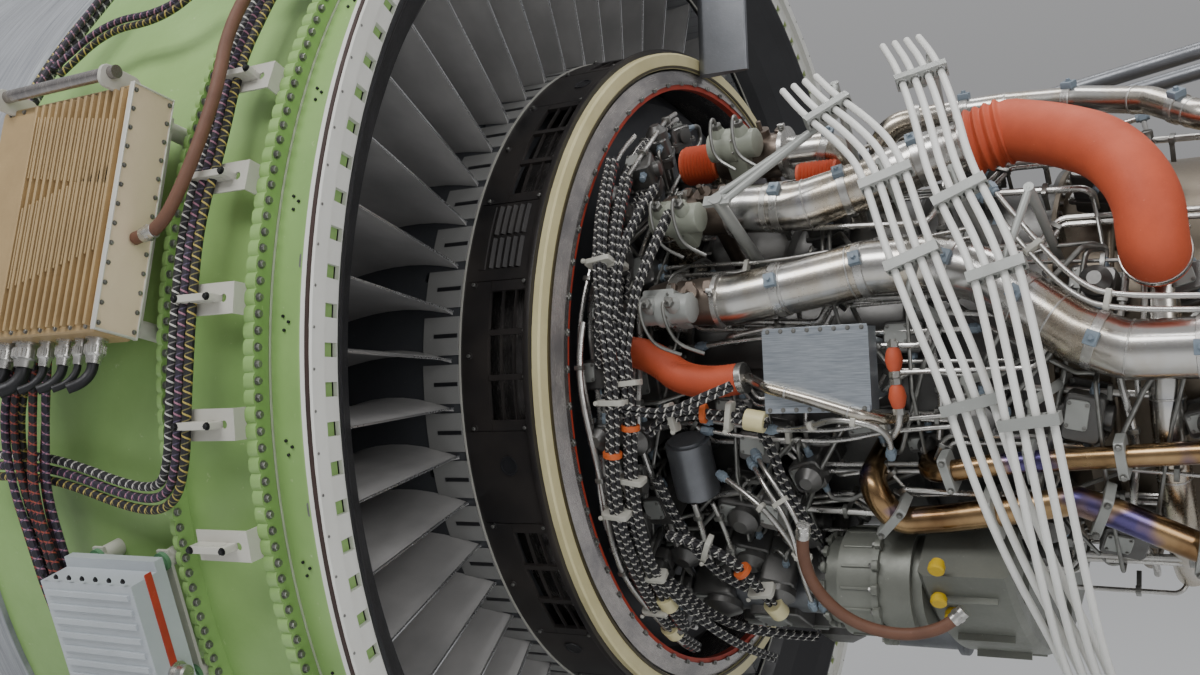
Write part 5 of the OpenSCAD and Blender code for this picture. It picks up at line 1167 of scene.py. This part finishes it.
# IGNITION BOX
# The ignition exciter is a sealed alloy box in pale blue-grey paint with stiffening ribs, screws round
# its lid, a plain red band and one round plug. Green rubber isolators carry both boxes.
box = stand(1.240, BOX_BASE, -18.2)
exciter = worn("exciter_grey", srgb(184, 190, 194), srgb(146, 152, 158), srgb(214, 218, 220), 0.4)
dress(exciter, "ignition_box")
heads = Piece()
for k in range(7):
    for y in (-0.154, 0.154):
        heads.add(bolt(0.009), box @ at(0.018 + 0.044 * k, y, 0.0965))
heads.make("exciter_screws", black_oxide)
Piece().block(box @ at(0.3005, 0, 0.048) @ QUARTER, 0.020, 0.300, -0.001, 0.0012, 0.002).make(
    "exciter_red_band", red)
plug = Piece().turned(box @ at(0.300, -0.09, 0.045) @ QUARTER,
                      [(0, 0.026), (0.006, 0.026), (0.006, 0.020), (0.030, 0.020), (0.034, 0.015)], 24)
plug.make("exciter_plug", zinc_bright)
isolator = worn("isolator_green", srgb(96, 140, 104), srgb(64, 98, 72), srgb(150, 180, 150), 0.55)
dress(isolator, "box_isolators")

# STRUT AND MOUNTS
# The upper strut, the two mounts and the thrust links are forged steel and titanium, shot peened and
# left bare, with pinned ends.
forged = worn("forged_grey", srgb(128, 130, 134), srgb(86, 88, 92), srgb(176, 178, 182), 0.36, 0.75,
              blotch=8)
dress(forged, "forward_mount", "aft_mount", "thrust_links")
dress(forged, "top_strut")

# COMPRESSOR CASE
# The split compressor case is forged titanium with three rings that turn the variable vanes through
# short levers, and bolted flanges.
case_grey = worn("compressor_titanium", srgb(116, 115, 113), srgb(78, 77, 75), srgb(160, 158, 155), 0.4,
                 0.75, blotch=6)
dress(case_grey, "compressor_case", "high_compressor")
lever = Piece().block(at(0.014, 0, 0), 0.040, 0.010, 0, 0.004, 0.003).add(bolt(0.010))
for k in range(3):
    row("vane_levers_%d" % (k + 1), lever, zinc_bright, 60, 2.137 + 0.055 * k, 0.540, 0, da=6)
    row("vane_ring_nuts_%d" % (k + 1), bolt(0.010), zinc, 48, 2.137 + 0.055 * k, 0.5605, 3, da=7.5)
front_facing = Piece().add(bolt(0.013), QUARTER)
for name, x, r in [("compressor_front_bolts", 2.1045, 0.490), ("combustor_front_bolts", 3.1925, 0.490),
                   ("combustor_aft_bolts", 3.6325, 0.520)]:
    row(name, front_facing, zinc, 72, x, r, 0, da=5)

# SERVICE PIPES AND SMALL UNITS
# Between the ducts the case is covered with small cast units, each bolted down through its lugs and
# tied to its neighbours by thin bent tubes with nuts at both ends.
units, covers, heads, pipes, nuts = Piece(), Piece(), Piece(), Piece(), Piece()
ports = []
FRAME_BASE, COMPRESSOR_BASE, COMBUSTOR_BASE = 0.70, 0.478, 0.508
# Station, clock angle, width, height and depth of each unit
UNITS = [(2.16, 62, 0.10, 0.12, 0.14), (2.20, 46, 0.09, 0.10, 0.13), (2.15, 24, 0.08, 0.12, 0.16),
         (2.30, 22, 0.14, 0.07, 0.07), (2.16, -4, 0.09, 0.13, 0.12), (2.15, -16, 0.08, 0.10, 0.19),
         (2.17, -33, 0.10, 0.12, 0.20), (2.17, -48, 0.10, 0.13, 0.18), (2.18, -64, 0.10, 0.14, 0.16),
         (2.40, -11, 0.12, 0.07, 0.10), (2.47, -20, 0.13, 0.10, 0.13), (2.38, -37, 0.14, 0.12, 0.16),
         (2.50, -34, 0.09, 0.12, 0.20), (2.36, -50, 0.13, 0.12, 0.17), (2.51, -48, 0.12, 0.10, 0.13),
         (2.60, -26, 0.10, 0.10, 0.16), (2.63, 26, 0.10, 0.08, 0.06), (2.60, 45, 0.12, 0.10, 0.08),
         (2.75, -17, 0.14, 0.06, 0.07), (2.88, -22, 0.10, 0.06, 0.06), (2.86, 5, 0.12, 0.10, 0.09),
         (3.02, -14, 0.13, 0.12, 0.12), (3.04, 30, 0.12, 0.10, 0.07), (3.30, 14, 0.12, 0.10, 0.09),
         (3.27, -14, 0.10, 0.14, 0.11), (3.30, 45, 0.12, 0.12, 0.09), (3.32, -46, 0.12, 0.12, 0.10),
         (3.15, -40, 0.12, 0.10, 0.14), (3.50, 14, 0.10, 0.08, 0.08), (3.52, -16, 0.10, 0.08, 0.08),
         (2.98, 62, 0.12, 0.10, 0.08), (2.50, 70, 0.12, 0.10, 0.08), (3.08, -58, 0.12, 0.12, 0.12)]
UNITS += [(2.24, -60, 0.14, 0.16, 0.25), (2.40, -66, 0.17, 0.18, 0.27), (2.55, -60, 0.12, 0.15, 0.22),
          (2.32, -76, 0.17, 0.18, 0.26), (2.50, -79, 0.17, 0.18, 0.26), (2.19, -76, 0.10, 0.14, 0.22),
          (2.44, -54, 0.11, 0.12, 0.24)]
UNITS += [(2.105 + 0.012 * (k % 3), 68 - 11.5 * k, 0.07 + 0.01 * (k % 3), 0.10 - 0.012 * (k % 2),
           0.05 + 0.017 * (k * 5 % 4)) for k in range(13)]
for n, (x, a, wide, tall, deep) in enumerate(UNITS):
    base = FRAME_BASE if x < 2.14 else COMPRESSOR_BASE if x < 3.17 else COMBUSTOR_BASE
    place = stand(x, base, a, (n * 37) % 40 - 20)
    if base == FRAME_BASE:
        units.block(place, wide * 0.3, tall * 0.3, -0.2, 0.01, 0.01)
    rise = deep + 0.03
    units.block(place, wide * 0.86, tall * 0.80, 0.006, rise, 0.014, 0.004, 3)
    units.block(place, wide, tall, rise * 0.34, rise * 0.34 + 0.010, 0.010)
    if n % 2:
        units.turned(place @ at(wide * 0.1, 0, rise - 0.002),
                     [(0, tall * 0.36), (0.020, tall * 0.36), (0.026, tall * 0.30),
                      (0.040, tall * 0.16)], 22)
    else:
        units.turned(place @ at(0, 0, rise * 0.66) @ QUARTER,
                     [(-wide * 0.62, tall * 0.18), (-wide * 0.60, tall * 0.22), (wide * 0.60, tall * 0.22),
                      (wide * 0.62, tall * 0.18)], 20)
    covers.block(place @ at(-wide * 0.12, tall * 0.06, rise), wide * 0.5, tall * 0.5, 0, 0.007, 0.008)
    for sx in (-1, 1):
        for sy in (-1, 1):
            heads.add(bolt(0.010), place @ at(sx * (wide / 2 - 0.008), sy * (tall / 2 - 0.008),
                                                              rise * 0.34 + 0.010))
            heads.add(bolt(0.007), place @ at(sx * wide * 0.19 - wide * 0.12,
                                                              sy * tall * 0.19 + tall * 0.06, rise + 0.007))
    for side in (-1, 1):
        port = place @ at(wide * 0.15, side * tall * 0.40, rise * 0.8) @ roll(-90 * side)
        nuts.turned(port, [(0, 0.011), (0.012, 0.011), (0.014, 0.009)], 6)
        nuts.turned(port, [(0.014, 0.0085), (0.026, 0.0085), (0.027, 0.006)], 12)
        ports.append(port)
for n, port in enumerate(ports):
    for jump, size in ((3, 0.0050), (8, 0.0066)):
        if (n * 7 + jump) % 3 == 0 or n + jump >= len(ports):
            continue
        other = ports[n + jump]
        a, b = port @ Vector((0, 0, 0.02)), other @ Vector((0, 0, 0.02))
        if (a - b).length > 0.6:
            continue
        up_a, up_b = port @ Vector((0, 0, 0.05)), other @ Vector((0, 0, 0.05))
        mid = (up_a + up_b) / 2
        out = Vector((0, mid.y, mid.z)).normalized()
        lift = out * (0.60 + 0.014 * (n % 5) - Vector((0, mid.y, mid.z)).length)
        step = Vector((mid.x - up_a.x, 0, 0))
        pipes.tube(bent([a, up_a, up_a + lift * 0.5 + step * 0.4, mid + lift, up_b + lift * 0.5
                         - step * 0.2, up_b, b], 0.022, 15), size, 10)
units.make("service_units", case_grey)
covers.make("service_unit_covers", light_grey)
heads.make("service_unit_bolts", zinc)
pipes.make("service_pipes", zinc)
nuts.make("service_pipe_nuts", blue_grey)
runs, clips = Piece(), Piece()
for n in range(26):
    a, r, x = -72 + 5.6 * n, 0.585 + 0.013 * (n * 5 % 6), 2.14 + 0.13 * (n * 3 % 5)
    level, end = 1000 * r, a + 2 - n % 3
    path = bent(places([[1000 * x + dx, level - drop, turn] for dx, drop, turn in [
        (0, 80, a), (0, 0, a), (140, 0, a + 2), (190, 0, a - 5 + n % 4), (520, 0, a - 4), (560, 0, a + 3),
        (900, 0, end), (900, 70, end)]]), 0.03, 15)
    for shift in ((0.0,) if n % 3 else (-0.010, 0.010)):
        runs.tube(aside(path, shift), 0.0048 + 0.0012 * (n % 4), 10)
    for share in (0.2, 0.45, 0.62, 0.85):
        place = station(path, share)
        clips.block(place, 0.020, 0.036, -0.006, 0.006, 0.005)
        clips.block(place @ at(-0.03, 0.012, 0), 0.05, 0.004, -0.006, 0.006, 0.001)
for n, (x, a0, a1, r) in enumerate([(2.145, -70, 64, 0.66), (2.175, -58, 20, 0.70), (2.60, -30, 30, 0.60),
                                    (2.93, -20, 62, 0.585), (3.12, -60, 8, 0.60), (3.36, -62, 50, 0.615),
                                    (3.40, -10, 62, 0.63), (2.28, -66, -28, 0.72), (2.33, -70, -30, 0.70),
                                    (2.10, -72, 70, 0.80), (2.095, -50, 52, 0.84), (2.11, -70, 10, 0.865),
                                    (2.13, 8, 70, 0.82), (2.14, -66, -8, 0.79)]):
    path = [clock(x + 0.012 * math.sin(a / 6 + n), r, a) for a in range(a0, a1 + 1, 3)]
    runs.tube(path, 0.0065 + 0.002 * (n % 2), 10)
    for share in (0.15, 0.4, 0.65, 0.9):
        clips.block(station(path, share), 0.022, 0.026, -0.006, 0.006, 0.005)
runs.make("long_service_pipes", zinc_bright)
clips.make("service_pipe_clips", zinc)

# HOT SECTION
# The combustor, turbine case, rear frame, nozzle and cone are nickel alloy and titanium browned by
# heat, with fuel nozzles, cooling tubes and bolted flanges.
hot = worn("hot_alloy", srgb(132, 122, 108), srgb(88, 80, 70), srgb(172, 162, 146), 0.42, 0.75, blotch=4)
dress(hot, "combustor_case", "combustor_liner", "turbine_case", "turbine_rear_frame")
dress(worn("nozzle_titanium", srgb(152, 146, 140), srgb(112, 104, 100), srgb(192, 188, 182), 0.4, 0.8,
           blotch=2.5), "exhaust_nozzle", "exhaust_cone")
row("rear_frame_bolts", front_facing, zinc, 90, 4.6515, 0.915, 0, da=4)

# GEARBOX AND GENERATOR
# The accessory gearbox is cast magnesium in grey-green paint, slung under the core. The generator's
# ribbed housing is clamped to its front face with bolted lugs and has yellow shipping caps.
gear_grey = worn("gearbox_paint", srgb(126, 128, 120), srgb(88, 90, 84), srgb(170, 172, 164), 0.42, 0.3,
                 blotch=5)
dress(gear_grey, "accessory_gearbox", "generator")
dress(worn("accessory_steel", srgb(118, 120, 124), srgb(74, 76, 80), srgb(172, 174, 178), 0.36, 0.7,
           blotch=9), "gearbox_accessories")
pad = clock(0, 0.720, -52)
lugs, caps, heads = Piece(), Piece(), Piece()
for k in range(16):
    t = 2 * math.pi * k / 16
    way = Vector((0, math.cos(t), math.sin(t)))
    for x, radius, width in [(2.756, 0.150, 0.014), (2.612, 0.114, 0.010)]:
        place = facing(pad + way * radius + Vector((x, 0, 0)), (1, 0, 0), way)
        lugs.block(place, 0.022, 0.026, -0.002, width, 0.006)
        heads.add(bolt(0.013), place @ roll(180) @ at(0, 0, 0.002))
    lugs.block(facing(pad + way * 0.1385 + Vector((2.69, 0, 0)), (1, 0, 0), way), 0.008, 0.007, -0.02,
               0.055, 0.002)
for x, a, r in [(2.93, -38, 0.80), (2.91, -46.5, 0.80), (2.93, -51, 0.80)]:
    caps.turned(stand(x, r - 0.005, a), [(0, 0.016), (0.012, 0.016), (0.012, 0.020), (0.026, 0.020),
                                         (0.030, 0.016)], 20)
lugs.make("generator_lugs", gear_grey)
heads.make("generator_bolts", zinc)
caps.make("generator_caps", worn("yellow_cap", srgb(226, 190, 40), srgb(180, 146, 30), srgb(240, 214, 110),
                                 0.45))
oil = worn("oil_tank_alloy", srgb(168, 170, 172), srgb(126, 128, 130), srgb(204, 206, 208), 0.4, 0.5)
dress(oil, "oil_tank")
dress(zinc, "main_bearings")

# ROTORS
# The fan blades are hollow titanium with a fine polished grain. The spinner is
# dark composite, and the booster and turbines turn on the two shafts inside.
blade = Finish("blade_titanium", srgb(112, 114, 120), 0.3, 0.9)
_grain = blade.noise(3.0, 4.0, blade.space((40.0, 6.0, 6.0)))
blade.put("Base Color", blade.mix(_grain.ramp((0.35, 0.0), (0.65, 1.0)), srgb(92, 94, 100),
                                  srgb(138, 140, 146)))
blade.put("Roughness", _grain * 0.2 + 0.2)
dress(blade, "fan_blades")
dress(forged, "fan_disc", "booster_rotor", "low_shaft")
dress(lip, "spinner")
dress(hot, "low_turbine", "high_turbine")
